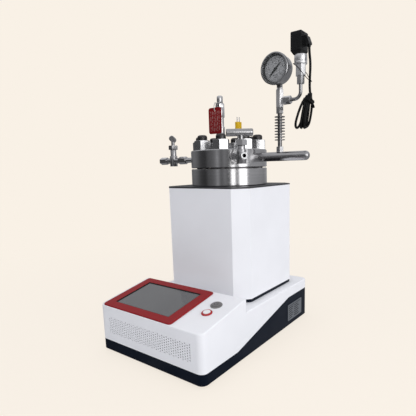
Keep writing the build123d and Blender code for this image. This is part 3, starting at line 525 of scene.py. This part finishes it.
def hank_turn(count, turn, first):
    """One turn's points, past a first share of it: down one side of a long loop and up the other."""
    following = HANK_TURNS[min(count + 1, len(HANK_TURNS) - 1)]
    share = HANK_END_SHARE
    points = []
    for step in range(TURN_STEPS):
        way = (step + 0.5) / TURN_STEPS
        if way < first:
            continue
        (top_across, top_up), (foot_across, foot_up), lean = turn
        if way > 0.5:
            back = eased((way - 0.5) * 2)
            top_across += (following[0][0] - top_across) * back
            top_up += (following[0][1] - top_up) * back
        side = 1.0 if way < 0.5 else -1.0
        near_top = min(way, 1 - way)
        near_foot = abs(way - 0.5)
        if near_top < share:
            angle = near_top / share * math.pi / 2
            depth = HANK_TOP_RADIUS * math.sin(angle)
            height = top_up - HANK_TOP_RADIUS * (1 - math.cos(angle))
        elif near_foot < share:
            angle = near_foot / share * math.pi / 2
            depth = HANK_FOOT_RADIUS * math.sin(angle)
            height = foot_up + HANK_FOOT_RADIUS * (1 - math.cos(angle))
        else:
            part = (near_top - share) / (0.5 - 2 * share)
            depth = HANK_TOP_RADIUS + (HANK_FOOT_RADIUS - HANK_TOP_RADIUS) * part
            start = top_up - HANK_TOP_RADIUS
            height = start + (foot_up + HANK_FOOT_RADIUS - start) * part
        across = foot_across + (top_across - foot_across) * (height - foot_up) / (top_up - foot_up)
        across -= lean * depth * side * eased((top_up - height) / HANK_LEAN_RUN)
        points.append(hank_place(across, HANK_MIDDLE - depth * side, height))
    return points


def signal_cable():
    """The sensor's lead: it hangs from the connector, and its spare length is tied up in a hank."""
    points = [Vector(p) for p in CABLE_ROUTE[:-1]]
    points += [hank_place(*p) for p in HANK_ENTRY]
    for count, turn in enumerate(HANK_TURNS):
        points += hank_turn(count, turn, 0.0 if count else HANK_START)
    points += [hank_place(*p) for p in HANK_TAIL]
    curve = cord_curve("signal_cable", CABLE_DIAMETER / 2, [points], 5, 8)
    piece = add("signal_cable", curve, "lid", "cable_rubber")
    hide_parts("cable_drop", "cable_hank")
    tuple(CABLE_ROUTE[0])


TIE_RADIUS = 0.6 * MM
# the wire that holds the cable to the sensor: from the sensor's axis, and height above the ports
TIE_ROUTE = [
    (21.0, -3.2, 129.0), (17.0, -5.4, 132.4), (10.0, -11.5, 142.0), (3.0, -14.0, 152.0),
    (-6.0, -13.2, 160.0), (-12.6, -7.0, 164.0), (-13.8, 2.0, 165.0), (-9.2, 11.2, 163.0),
    (4.0, 13.4, 151.0), (15.0, 5.2, 134.5), (20.6, 2.4, 130.0), (21.9, -1.0, 128.6),
    (20.2, -3.6, 127.6), (18.0, -2.6, 126.0),
]
# the wire that binds the hank, wound round it in an oval and then twisted off: millimetres
BINDING_HEIGHT = 92.5
BINDING_RISE = 3.2
BINDING_MIDDLE = -3.0
BINDING_ACROSS = 11.4
BINDING_BACK = 13.6
BINDING_POINTS = 34
POINTS_A_TURN = 14
BINDING_END = [(3.0, -15.4, 97.0), (6.0, -15.2, 95.0)]


def tie_wires():
    """The thin wires that hold the cable to the sensor and bind the hank."""
    sensor = centre("transmitter_body")
    origin = Vector((sensor.x, sensor.y, PORT_Z))
    holding = [origin + Vector(place) * MM for place in TIE_ROUTE]
    binding = []
    for step in range(BINDING_POINTS):
        angle = 2 * math.pi * step / POINTS_A_TURN
        across = BINDING_MIDDLE + BINDING_ACROSS * math.cos(angle)
        back = HANK_MIDDLE + BINDING_BACK * math.sin(angle)
        binding.append(hank_place(across, back, BINDING_HEIGHT + BINDING_RISE * step / BINDING_POINTS))
    binding += [hank_place(*place) for place in BINDING_END]
    curve = cord_curve("tie_wires", TIE_RADIUS, [holding, binding], 3, 6)
    piece = add("tie_wires", curve, "lid", "cable_rubber")
    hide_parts("cable_ties")


signal_cable()
tie_wires()


# ---------------------------------------------------------------- console
PANEL_SLOPE = math.radians(9.93)
PANEL = facing((0, -math.sin(PANEL_SLOPE), math.cos(PANEL_SLOPE)), (0, 1, 0))
VENT_RADIUS = 1.5 * MM
VENT_SIDES = 10
VENT_PITCH = 5.2 * MM
VENT_RISE = 4.5 * MM
VENT_COLUMNS = 40
VENT_ROWS = 7
VENT_LEFT = -0.096                       # where the first column lies, along X
VENT_FOOT = 0.0405                       # height of the lowest row
VENT_DEPTH = (-4 * MM, 1 * MM)           # from behind the front wall to before it


def vents():
    """Cuts the front's field of staggered air holes in a copy of the console's upper shell; the holes'
    walls are dark plastic, painted shade inside the holes.
    """
    front = low("upper_shell").y
    axes = facing((0, -1, 0))
    cutter = bmesh.new()
    for column in range(VENT_COLUMNS):
        for row in range(VENT_ROWS):
            x = VENT_LEFT + column * VENT_PITCH
            z = VENT_FOOT + (row + 0.5 * (column % 2)) * VENT_RISE
            prism(cutter, seat(axes, (0, 0, -front)), VENT_RADIUS, VENT_DEPTH, VENT_SIDES, (x, z))
    # painted shade: the hole walls take the dark plastic instead of the white paint, as if they lay in
    # shadow
    for face in cutter.faces:
        face.material_index = 1
    tool = bpy.data.objects.new("vent_tool", new_mesh("vent_tool", cutter))
    paint_and_hole_shade = (MATERIALS["white_paint"], MATERIALS["dark_plastic"])
    bpy.context.scene.collection.objects.link(tool)
    shell = bpy.data.objects.new("vented_shell", NODES["upper_shell"].data.copy())
    shell.matrix_world = NODES["upper_shell"].matrix_world
    bpy.context.scene.collection.objects.link(shell)
    for piece in (tool, shell):
        piece.data.materials.clear()
        for finish in paint_and_hole_shade:
            piece.data.materials.append(finish)
    weld(shell)
    cut = shell.modifiers.new("vents", "BOOLEAN")
    cut.operation = "DIFFERENCE"
    cut.solver = "EXACT"
    cut.object = tool
    mesh = evaluated_mesh(shell)
    shell.modifiers.clear()
    shell.data = mesh
    bpy.data.objects.remove(tool)
    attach(shell, "root")
    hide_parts("upper_shell")


def screen_recess_shade():
    """Painted shadow in the screen's recess: a black lining between the glass and the bezel's top, where
    the recess wall lies in shade.
    """
    glass_low, glass_high = spread("screen_glass", PANEL)
    bezel_high = spread("screen_bezel", PANEL)[1]
    thick = 0.45 * MM
    inset = 0.05 * MM
    below_bezel = 0.25 * MM
    out = (glass_high.z, bezel_high.z - below_bezel)
    left, right = glass_low.x + inset, glass_high.x - inset
    near, far = glass_low.y + inset, glass_high.y - inset
    ring = bmesh.new()
    frame_of = seat(PANEL, (0, 0, 0))
    slab(ring, frame_of, (left, left + thick), (near, far), out)
    slab(ring, frame_of, (right - thick, right), (near, far), out)
    slab(ring, frame_of, (left + thick, right - thick), (far - thick, far), out)
    slab(ring, frame_of, (left + thick, right - thick), (near, near + thick), out)
    # painted shadow: black lining on the recess wall, in place of its shade
    add("screen_recess_shade", new_mesh("screen_recess_shade", ring), "root", "black_plastic")


MARK_GAP = 70.0                          # degrees that the ring is open, at its top
MARK_STEPS = 25
MARK_RING = (3.1 * MM, 3.7 * MM)
MARK_OUT = (-0.2 * MM, 0.06 * MM)


def power_mark():
    """The stand-by mark on the power button: an open ring and a bar."""
    least, most = spread("power_button", PANEL)
    middle = ((least.x + most.x) / 2, (least.y + most.y) / 2, most.z)
    mark = bmesh.new()
    frame_of = seat(PANEL, middle)
    for step in range(MARK_STEPS + 1):
        angle = math.radians(90 + MARK_GAP / 2 + (360 - MARK_GAP) * step / MARK_STEPS)
        turn = frame_of @ Matrix.Rotation(angle, 4, "Z")
        slab(mark, turn, MARK_RING, (-0.42 * MM, 0.42 * MM), MARK_OUT)
    slab(mark, frame_of, (-0.3 * MM, 0.3 * MM), (1.0 * MM, 4.3 * MM), MARK_OUT)
    add("power_mark", new_mesh("power_mark", mark), "power_button", "black_plastic")


# ---------------------------------------------------------------- gauge
FACE = facing((0, -1, 0))
SWEEP_START = 225.0                      # degrees round the dial, from its right side
SWEEP = 270.0
PRINT_AND_SHADE_OUT = (-0.1 * MM, 0.05 * MM)       # print and painted shade, from inside its surface to just above it
# the dial's print and its painted rim shadow, as shares of its radius
MARKS_END = 0.88
MARK_LONG = 0.15
MARK_SHORT = 0.08
# painted shadow of the bezel's inner wall on the dial's rim
RIM_SHADE_BAND = (0.925, 0.995)
NUMBERS_AT = 0.6
MARK_COUNT = 50
MARKS_A_NUMBER = 10
RIM_SHADE_STEPS = 96
# plain bars in place of the dial's small print: middle across and up, width and height, millimetres
DIAL_BARS = [
    (-4.2, -11.0, 1.2, 3.0), (-1.6, -11.4, 1.0, 2.6), (1.2, -10.6, 2.4, 1.0), (-0.4, -14.2, 4.6, 0.9),
    (0.0, 9.0, 5.0, 0.8),
]


def dial_print_and_rim_shade():
    """Graduations, a painted shadow at the rim where the bezel's inner wall shades the face, small bars
    and the numbers of the gauge's dial.
    """
    least, most = spread("gauge_dial", FACE)
    middle = ((least.x + most.x) / 2, (least.y + most.y) / 2, most.z)
    radius = (most.x - least.x) / 2
    frame_of = seat(FACE, middle)
    marks = bmesh.new()
    for step in range(MARK_COUNT + 1):
        angle = math.radians(SWEEP_START - SWEEP * step / MARK_COUNT)
        major = step % (MARKS_A_NUMBER // 2) == 0
        start = MARKS_END - (MARK_LONG if major else MARK_SHORT)
        half = (0.30 if major else 0.13) * MM
        turn = frame_of @ Matrix.Rotation(angle, 4, "Z")
        slab(marks, turn, (radius * start, radius * MARKS_END), (-half, half), PRINT_AND_SHADE_OUT)
    # painted shadow: a dark ring at the dial's rim, where the bezel's inner wall shades the face
    rim_shade = [radius * share for share in RIM_SHADE_BAND]
    for step in range(RIM_SHADE_STEPS):
        angle = math.radians(360 * step / RIM_SHADE_STEPS)
        turn = frame_of @ Matrix.Rotation(angle, 4, "Z")
        slab(marks, turn, rim_shade, (-0.82 * MM, 0.82 * MM), PRINT_AND_SHADE_OUT)
    for x, y, wide, tall in DIAL_BARS:
        slab(marks, frame_of, ((x - wide / 2) * MM, (x + wide / 2) * MM),
             ((y - tall / 2) * MM, (y + tall / 2) * MM), PRINT_AND_SHADE_OUT)
    add("dial_print_and_rim_shade", new_mesh("dial_print_and_rim_shade", marks), "lid", "black_plastic")
    last = MARK_COUNT // MARKS_A_NUMBER
    for count in range(last + 1):
        angle = math.radians(SWEEP_START - SWEEP * count / last)
        text = bpy.data.curves.new("dial_number", "FONT")
        text.body = str(count * 2)
        text.size = 5.0 * MM
        text.extrude = 0.04 * MM
        text.align_x = "CENTER"
        text.align_y = "CENTER"
        carrier = bpy.data.objects.new("dial_number", text)
        bpy.context.scene.collection.objects.link(carrier)
        mesh = evaluated_mesh(carrier)
        bpy.data.objects.remove(carrier)
        reach = radius * NUMBERS_AT
        place = Matrix.Translation((reach * math.cos(angle), reach * math.sin(angle), 0))
        mesh.transform(frame_of @ place)
        mesh.materials.clear()
        add(f"dial_number_{count}", mesh, "lid", "black_plastic")


# the hand's outline: place along it from its axis and half its width there, millimetres
HAND = [(-13.5, 0.75), (-3.0, 1.1), (4.0, 2.0), (13.0, 1.3), (17.0, 0.4)]
HAND_BOSS_RADIUS = 2.6 * MM
HAND_BOSS_PROUD = 0.2 * MM
HAND_BOSS_SIDES = 24


def pointer():
    """The gauge's hand: a broad tapered head, a round boss and a thin tail, over the CAD hand's line."""
    hand = NODES["gauge_pointer"]
    least, most = spread("gauge_pointer", FACE)
    dial_low, dial_high = spread("gauge_dial", FACE)
    boss = Vector(((dial_low.x + dial_high.x) / 2, (dial_low.y + dial_high.y) / 2, 0))
    places = [FACE.transposed() @ (hand.matrix_world @ v.co) for v in hand.data.vertices]
    tip = max(places, key=lambda p: (Vector((p.x, p.y, 0)) - boss).length) - boss
    frame_of = seat(FACE, (boss.x, boss.y, 0)) @ Matrix.Rotation(math.atan2(tip.y, tip.x), 4, "Z")
    shape = bmesh.new()
    rings = []
    for x, half in HAND:
        ring = []
        for y, z in ((-half, least.z), (half, least.z), (half, most.z), (-half, most.z)):
            ring.append(shape.verts.new(frame_of @ Vector((x * MM, y * MM, z))))
        rings.append(ring)
    for first, second in zip(rings, rings[1:]):
        for k in range(4):
            shape.faces.new([first[k], first[(k + 1) % 4], second[(k + 1) % 4], second[k]])
    shape.faces.new(list(reversed(rings[0])))
    shape.faces.new(rings[-1])
    prism(shape, frame_of, HAND_BOSS_RADIUS, (least.z, most.z + HAND_BOSS_PROUD), HAND_BOSS_SIDES)
    bmesh.ops.recalc_face_normals(shape, faces=shape.faces)
    piece = add("gauge_hand", new_mesh("gauge_hand", shape), "gauge_pointer", "black_plastic")
    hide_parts("gauge_pointer")


# ---------------------------------------------------------------- tag and plate
def flat_axes(node):
    """Axes of a thin plate's broad side, the one that faces the camera."""
    turned = NODES[node].matrix_world.to_3x3()
    best = None
    total = {}
    for face in NODES[node].data.polygons:
        normal = (turned @ face.normal).normalized()
        key = tuple(round(c, 1) for c in normal)
        area, mean = total.get(key, (0.0, Vector((0, 0, 0))))
        total[key] = (area + face.area, mean + normal * face.area)
    for area, mean in total.values():
        toward = mean.normalized().dot(CAMERA_PLACE - centre(node))
        if toward > 0 and (best is None or area > best[0]):
            best = (area, mean.normalized())
    return facing(best[1])


# rows of dashes on the tag, as shares of its width and height
TAG_ROWS = 6
TAG_FIRST_ROW = 0.16
TAG_ROW_PITCH = 0.13
TAG_ROW_WIDTH = 0.035
TAG_MARGINS = (0.10, 0.86)
TAG_LAST_START = 0.80
TAG_GAP = 0.045
TAG_PRINT_OUT = (-0.1 * MM, 0.06 * MM)


def tag_print():
    """Pale rows on the red tag: fields in place of its words."""
    axes = flat_axes("relief_tag")
    least, most = spread("relief_tag", axes)
    rows = bmesh.new()
    frame_of = seat(axes, (least.x, least.y, most.z))
    wide, tall = most.x - least.x, most.y - least.y
    for row in range(TAG_ROWS):
        side = TAG_FIRST_ROW + row * TAG_ROW_PITCH
        reach = TAG_MARGINS[0] + 0.03 * (row % 2)
        step = 0
        while reach < TAG_LAST_START:
            length = 0.04 + 0.045 * ((row * 7 + step * 5) % 4)
            end = min(TAG_MARGINS[1], reach + length)
            across = (wide * side, wide * (side + TAG_ROW_WIDTH))
            slab(rows, frame_of, across, (tall * reach, tall * end), TAG_PRINT_OUT)
            reach = end + TAG_GAP
            step += 1
    add("tag_print", new_mesh("tag_print", rows), "relief_tag", "dial_white", TAG_PRINT)


# two columns of short lines under a rule on the plate, as shares of its width and height
PLATE_ROWS = 6
PLATE_FIRST_ROW = 0.12
PLATE_ROW_PITCH = 0.125
PLATE_ROW_HEIGHT = 0.045
PLATE_MARGINS = (0.07, 0.93)
PLATE_COLUMN = 0.44
PLATE_RULE = (0.87, 0.90)


def plate_print():
    """Blank fields and lines of the rating plate."""
    axes = flat_axes("side_plate")
    least, most = spread("side_plate", axes)
    wide, tall = most.x - least.x, most.y - least.y
    frame_of = seat(axes, (least.x, least.y, most.z))
    lines = bmesh.new()
    left, right = PLATE_MARGINS
    for row in range(PLATE_ROWS):
        foot = PLATE_FIRST_ROW + row * PLATE_ROW_PITCH
        along = (tall * foot, tall * (foot + PLATE_ROW_HEIGHT))
        first_end = 0.30 + 0.04 * (row % 3)
        second_end = 0.80 - 0.07 * (row % 2)
        slab(lines, frame_of, (wide * left, wide * first_end), along, PRINT_AND_SHADE_OUT)
        slab(lines, frame_of, (wide * PLATE_COLUMN, wide * second_end), along, PRINT_AND_SHADE_OUT)
    slab(lines, frame_of, (wide * left, wide * right), [tall * share for share in PLATE_RULE], PRINT_AND_SHADE_OUT)
    add("plate_print", new_mesh("plate_print", lines), "root", "dark_plastic")


# ---------------------------------------------------------------- fittings
RIB_COUNT = 9
RIB_START = 11.0 * MM                    # the lowest rib, above the connector's foot
RIB_PITCH = 2.6 * MM
RIB_ACROSS = (-10.6 * MM, 10.2 * MM)
RIB_DEPTH = (-14.8 * MM, -14.3 * MM)
RIB_HEIGHT = (-0.55 * MM, 0.55 * MM)


def plug_ribs():
    """Moulding ribs on the front of the sensor's square connector."""
    middle = centre("din_plug")
    ribs = bmesh.new()
    for step in range(RIB_COUNT):
        z = low("din_plug").z + RIB_START + step * RIB_PITCH
        slab(ribs, Matrix.Translation((middle.x, middle.y, z)), RIB_ACROSS, RIB_DEPTH, RIB_HEIGHT)
    add("plug_ribs", new_mesh("plug_ribs", ribs), "lid", "black_plastic")


OUTLET_STEPS = 48
# the lip's section: out from the bore's wall, and along the bore, millimetres
OUTLET_LIP = [(0.1, -0.3), (0.1, 0.05), (0.5, 0.35), (2.2, 0.35), (2.9, -0.1), (2.9, -0.3)]


def outlet_rim():
    """The bright turned lip round the mouth of the front valve's outlet."""
    mount = next(m for m in frame["record"]["mounts"] if m["name"] == "front_valve_outlet")
    frame_of = Matrix.Translation(mount["pos_m"]) @ facing(mount["axis"]).to_4x4()
    bore = mount["dims"]["r_mm"]
    section = [((bore + out) * MM, along * MM) for out, along in OUTLET_LIP]
    rim = bmesh.new()
    rings = []
    for step in range(OUTLET_STEPS):
        angle = 2 * math.pi * step / OUTLET_STEPS
        rings.append([rim.verts.new(frame_of @ Vector((r * math.cos(angle), r * math.sin(angle), z)))
                      for r, z in section])
    for step in range(OUTLET_STEPS):
        first, second = rings[step], rings[(step + 1) % OUTLET_STEPS]
        for k in range(len(section)):
            after = (k + 1) % len(section)
            rim.faces.new([first[k], second[k], second[after], first[after]])
    bmesh.ops.recalc_face_normals(rim, faces=rim.faces)
    add("outlet_rim", new_mesh("outlet_rim", rim), "lid", "nut_steel")


NUT_FLATS_FACE = -33.0                   # heading of one flat of each nut, in degrees
NUT_TURN = 60.0                          # a hexagon looks the same after this turn


def islands(grid):
    """The sets of corners that hang together in a mesh under construction."""
    left = set(grid.verts)
    while left:
        island = {left.pop()}
        waiting = list(island)
        while waiting:
            for edge in waiting.pop().link_edges:
                for vert in edge.verts:
                    if vert in left:
                        left.discard(vert)
                        island.add(vert)
                        waiting.append(vert)
        yield island


def turned_nuts():
    """The lid's nuts, each turned on its own stud to where it came to rest."""
    nuts = NODES["lid_nuts"]
    grid = bmesh.new()
    grid.from_mesh(nuts.data)
    grid.transform(nuts.matrix_world)
    bmesh.ops.remove_doubles(grid, verts=grid.verts, dist=WELD_DISTANCE)
    for island in islands(grid):
        middle = sum((v.co for v in island), Vector()) / len(island)
        middle = Vector((middle.x, middle.y, 0))
        corner = max(island, key=lambda v: (Vector((v.co.x, v.co.y, 0)) - middle).length)
        heading = math.degrees(math.atan2(corner.co.y - middle.y, corner.co.x - middle.x))
        wanted = NUT_FLATS_FACE + NUT_TURN / 2
        turn = (wanted - heading + NUT_TURN / 2) % NUT_TURN - NUT_TURN / 2
        spin = Matrix.Rotation(math.radians(turn), 4, "Z")
        about_stud = Matrix.Translation(middle) @ spin @ Matrix.Translation(-middle)
        bmesh.ops.transform(grid, matrix=about_stud, verts=list(island))
    piece = add("turned_nuts", new_mesh("turned_nuts", grid), "lid", "nut_steel")
    bevel(piece, 0.4 * MM, NUT_EDGE_ANGLE)
    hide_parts("lid_nuts")


# machined and formed edges that are broken, and the width of the break in millimetres
BROKEN_EDGES = {
    "top_plate": 0.4,
    "tube_nuts": 0.3,
    "valve_bodies": 0.4,
    "gauge_tee": 0.4,
    "gauge_bezel": 0.4,
    "screen_bezel": 0.4,
    "transmitter_body": 0.4,
    "relief_body": 0.3,
    "relief_cap": 0.3,
    "well_fitting": 0.4,
}

vents()
screen_recess_shade()
power_mark()
dial_print_and_rim_shade()
pointer()
tag_print()
plate_print()
plug_ribs()
turned_nuts()
outlet_rim()
for node, width in BROKEN_EDGES.items():
    weld(NODES[node])
    bevel(NODES[node], width * MM, EDGE_ANGLE)


# ---------------------------------------------------------------- stage and light
BACKGROUND = srgb(249, 241, 230)
FLOOR_GREY = (0.74, 0.745, 0.76, 1.0)    # what the machine itself sees of the floor
FLOOR_SIDE = 12.0
FLOOR_FADE = (0.45, 1.1)                 # from this far out to that, the floor turns plain
FLOOR_PLAIN = 0.82                       # share of plain background right at the machine
CEILING = (0.12, 0.6)                    # rise of a direction, from the room's sides to its ceiling
AIM_HEIGHT = 0.32


def wire(tree, source, target):
    """Joins one socket of a node tree to another."""
    tree.links.new(source, target)


# the room's brightness at eye level by compass heading in degrees, and overhead: what lights the
# machine, and what its gloss and metal show, which is the pale backdrop between dark flags
ROOM_SIDES = [
    (-180, 0.30), (-140, 0.20), (-118, 0.30), (-104, 0.17), (-62, 0.18), (-30, 0.45), (4, 0.50),
    (60, 0.54), (110, 0.36), (180, 0.30),
]
SHEEN_SIDES = [
    (-180, 0.24), (-163, 0.18), (-148, 0.08), (-127, 0.05), (-120, 0.13), (-107, 0.16), (-95, 0.24),
    (-88, 0.52), (-81, 0.20), (-75, 0.15), (-67, 0.34), (-58, 0.15), (-51, 0.18), (-45, 0.40),
    (-35, 0.18), (-28, 0.26), (-20, 0.50), (0, 0.52), (18, 0.52), (40, 0.48), (60, 0.44),
    (77, 0.36), (97, 0.46), (125, 0.18), (150, 0.16), (180, 0.24),
]
ROOM_TOP = 0.99
SHEEN_TOP = 0.72
SHEEN_FLOOR = 0.85                       # the floor's share of that brightness
ROOM_TINT = (0.975, 0.985, 1.02)


def sides(tree, place, levels):
    """The room's colour at eye level, by the heading of a direction or a place."""
    split = tree.nodes.new("ShaderNodeSeparateXYZ")
    wire(tree, place, split.inputs[0])
    heading = tree.nodes.new("ShaderNodeMath")
    heading.operation = "ARCTAN2"
    wire(tree, split.outputs["Y"], heading.inputs[0])
    wire(tree, split.outputs["X"], heading.inputs[1])
    turn = tree.nodes.new("ShaderNodeMapRange")
    turn.inputs["From Min"].default_value = -math.pi
    turn.inputs["From Max"].default_value = math.pi
    wire(tree, heading.outputs[0], turn.inputs["Value"])
    ramp = tree.nodes.new("ShaderNodeValToRGB")
    wire(tree, turn.outputs["Result"], ramp.inputs["Fac"])
    stops = ramp.color_ramp.elements
    while len(stops) < len(levels):
        stops.new(0.5)
    for stop, (degrees, level) in zip(stops, levels):
        stop.position = (degrees + 180) / 360
        stop.color = tuple(level * tint for tint in ROOM_TINT) + (1,)
    return ramp.outputs["Color"]


def blend(tree, factor, first, second):
    """Mixes two colours, each a socket or a constant, by a socket."""
    mix = tree.nodes.new("ShaderNodeMix")
    mix.data_type = "RGBA"
    wire(tree, factor, mix.inputs["Factor"])
    for name, colour in (("A", first), ("B", second)):
        if isinstance(colour, tuple):
            mix.inputs[name].default_value = colour
        else:
            wire(tree, colour, mix.inputs[name])
    return mix.outputs["Result"]


def world():
    """Plain background to the camera; to everything else a soft room with a bright ceiling."""
    made = bpy.data.worlds.new("room")
    bpy.context.scene.world = made
    made.use_nodes = True
    tree = made.node_tree
    rays = tree.nodes.new("ShaderNodeLightPath")
    direction = tree.nodes.new("ShaderNodeTexCoord").outputs["Generated"]
    split = tree.nodes.new("ShaderNodeSeparateXYZ")
    wire(tree, direction, split.inputs[0])
    rise = tree.nodes.new("ShaderNodeMapRange")
    rise.interpolation_type = "SMOOTHSTEP"
    rise.inputs["From Min"].default_value = CEILING[0]
    rise.inputs["From Max"].default_value = CEILING[1]
    wire(tree, split.outputs["Z"], rise.inputs["Value"])
    light = blend(tree, rise.outputs["Result"], sides(tree, direction, ROOM_SIDES),
                  tuple(ROOM_TOP * tint for tint in ROOM_TINT) + (1,))
    sheen = blend(tree, rise.outputs["Result"], sides(tree, direction, SHEEN_SIDES),
                  tuple(SHEEN_TOP * tint for tint in ROOM_TINT) + (1,))
    seen = blend(tree, rays.outputs["Is Glossy Ray"], light, sheen)
    seen = blend(tree, rays.outputs["Is Transmission Ray"], seen, BACKGROUND)
    seen = blend(tree, rays.outputs["Is Camera Ray"], seen, BACKGROUND)
    wire(tree, seen, tree.nodes["Background"].inputs["Color"])


def floor():
    """Seamless paper: it takes a faint shadow near the machine and is plain background beyond."""
    mesh = bpy.data.meshes.new("floor")
    side = FLOOR_SIDE
    corners = [(-side, -side, 0), (side, -side, 0), (side, side, 0), (-side, side, 0)]
    mesh.from_pydata(corners, [], [(0, 1, 2, 3)])
    ground = bpy.data.objects.new("floor", mesh)
    bpy.context.scene.collection.objects.link(ground)
    material = bpy.data.materials.new("floor")
    material.use_nodes = True
    tree = material.node_tree
    rays = tree.nodes.new("ShaderNodeLightPath")
    place = tree.nodes.new("ShaderNodeTexCoord").outputs["Object"]
    paper = tree.nodes["Principled BSDF"]
    paper.inputs["Roughness"].default_value = 0.9
    paper.inputs["Specular IOR Level"].default_value = 0.1
    shown = blend(tree, rays.outputs["Is Camera Ray"], FLOOR_GREY, BACKGROUND)
    wire(tree, shown, paper.inputs["Base Color"])
    reach = tree.nodes.new("ShaderNodeVectorMath")
    reach.operation = "LENGTH"
    wire(tree, place, reach.inputs[0])
    fade = tree.nodes.new("ShaderNodeMapRange")
    fade.inputs["From Min"].default_value = FLOOR_FADE[0]
    fade.inputs["From Max"].default_value = FLOOR_FADE[1]
    fade.inputs["To Min"].default_value = FLOOR_PLAIN
    wire(tree, reach.outputs["Value"], fade.inputs["Value"])
    plain = tree.nodes.new("ShaderNodeEmission")
    plain.inputs["Color"].default_value = BACKGROUND
    sheen = tree.nodes.new("ShaderNodeEmission")
    sheen.inputs["Strength"].default_value = SHEEN_FLOOR
    wire(tree, sides(tree, place, SHEEN_SIDES), sheen.inputs["Color"])
    glow = tree.nodes.new("ShaderNodeMixShader")
    wire(tree, rays.outputs["Is Glossy Ray"], glow.inputs["Fac"])
    wire(tree, plain.outputs[0], glow.inputs[1])
    wire(tree, sheen.outputs[0], glow.inputs[2])
    either = tree.nodes.new("ShaderNodeMath")
    either.operation = "MAXIMUM"
    wire(tree, rays.outputs["Is Camera Ray"], either.inputs[0])
    wire(tree, rays.outputs["Is Glossy Ray"], either.inputs[1])
    share = tree.nodes.new("ShaderNodeMath")
    share.operation = "MULTIPLY"
    wire(tree, fade.outputs["Result"], share.inputs[0])
    wire(tree, either.outputs[0], share.inputs[1])
    mix = tree.nodes.new("ShaderNodeMixShader")
    wire(tree, share.outputs[0], mix.inputs["Fac"])
    wire(tree, paper.outputs[0], mix.inputs[1])
    wire(tree, glow.outputs[0], mix.inputs[2])
    wire(tree, mix.outputs[0], tree.nodes["Material Output"].inputs["Surface"])
    mesh.materials.append(material)


def softbox(name, heading, elevation, distance, width, height, power):
    """Area light aimed at the middle of the machine; heading is measured from +X towards +Y."""
    data = bpy.data.lights.new(name, "AREA")
    data.shape = "RECTANGLE"
    data.size = width
    data.size_y = height
    data.energy = power
    lamp = bpy.data.objects.new(name, data)
    aim = Vector((AXIS.x, AXIS.y, AIM_HEIGHT))
    turn = math.radians(heading)
    rise = math.radians(elevation)
    away = Vector((math.cos(turn) * math.cos(rise), math.sin(turn) * math.cos(rise), math.sin(rise)))
    lamp.location = aim + away * distance
    lamp.rotation_mode = "QUATERNION"
    lamp.rotation_quaternion = (-away).to_track_quat("-Z", "Y")
    bpy.context.scene.collection.objects.link(lamp)


floor()
world()
softbox("strip", heading=-42.5, elevation=4, distance=1.8, width=0.36, height=1.5, power=4.4)
softbox("key", heading=-13, elevation=6, distance=1.8, width=0.76, height=1.5, power=9.4)
bpy.context.scene.view_settings.view_transform = "Standard"
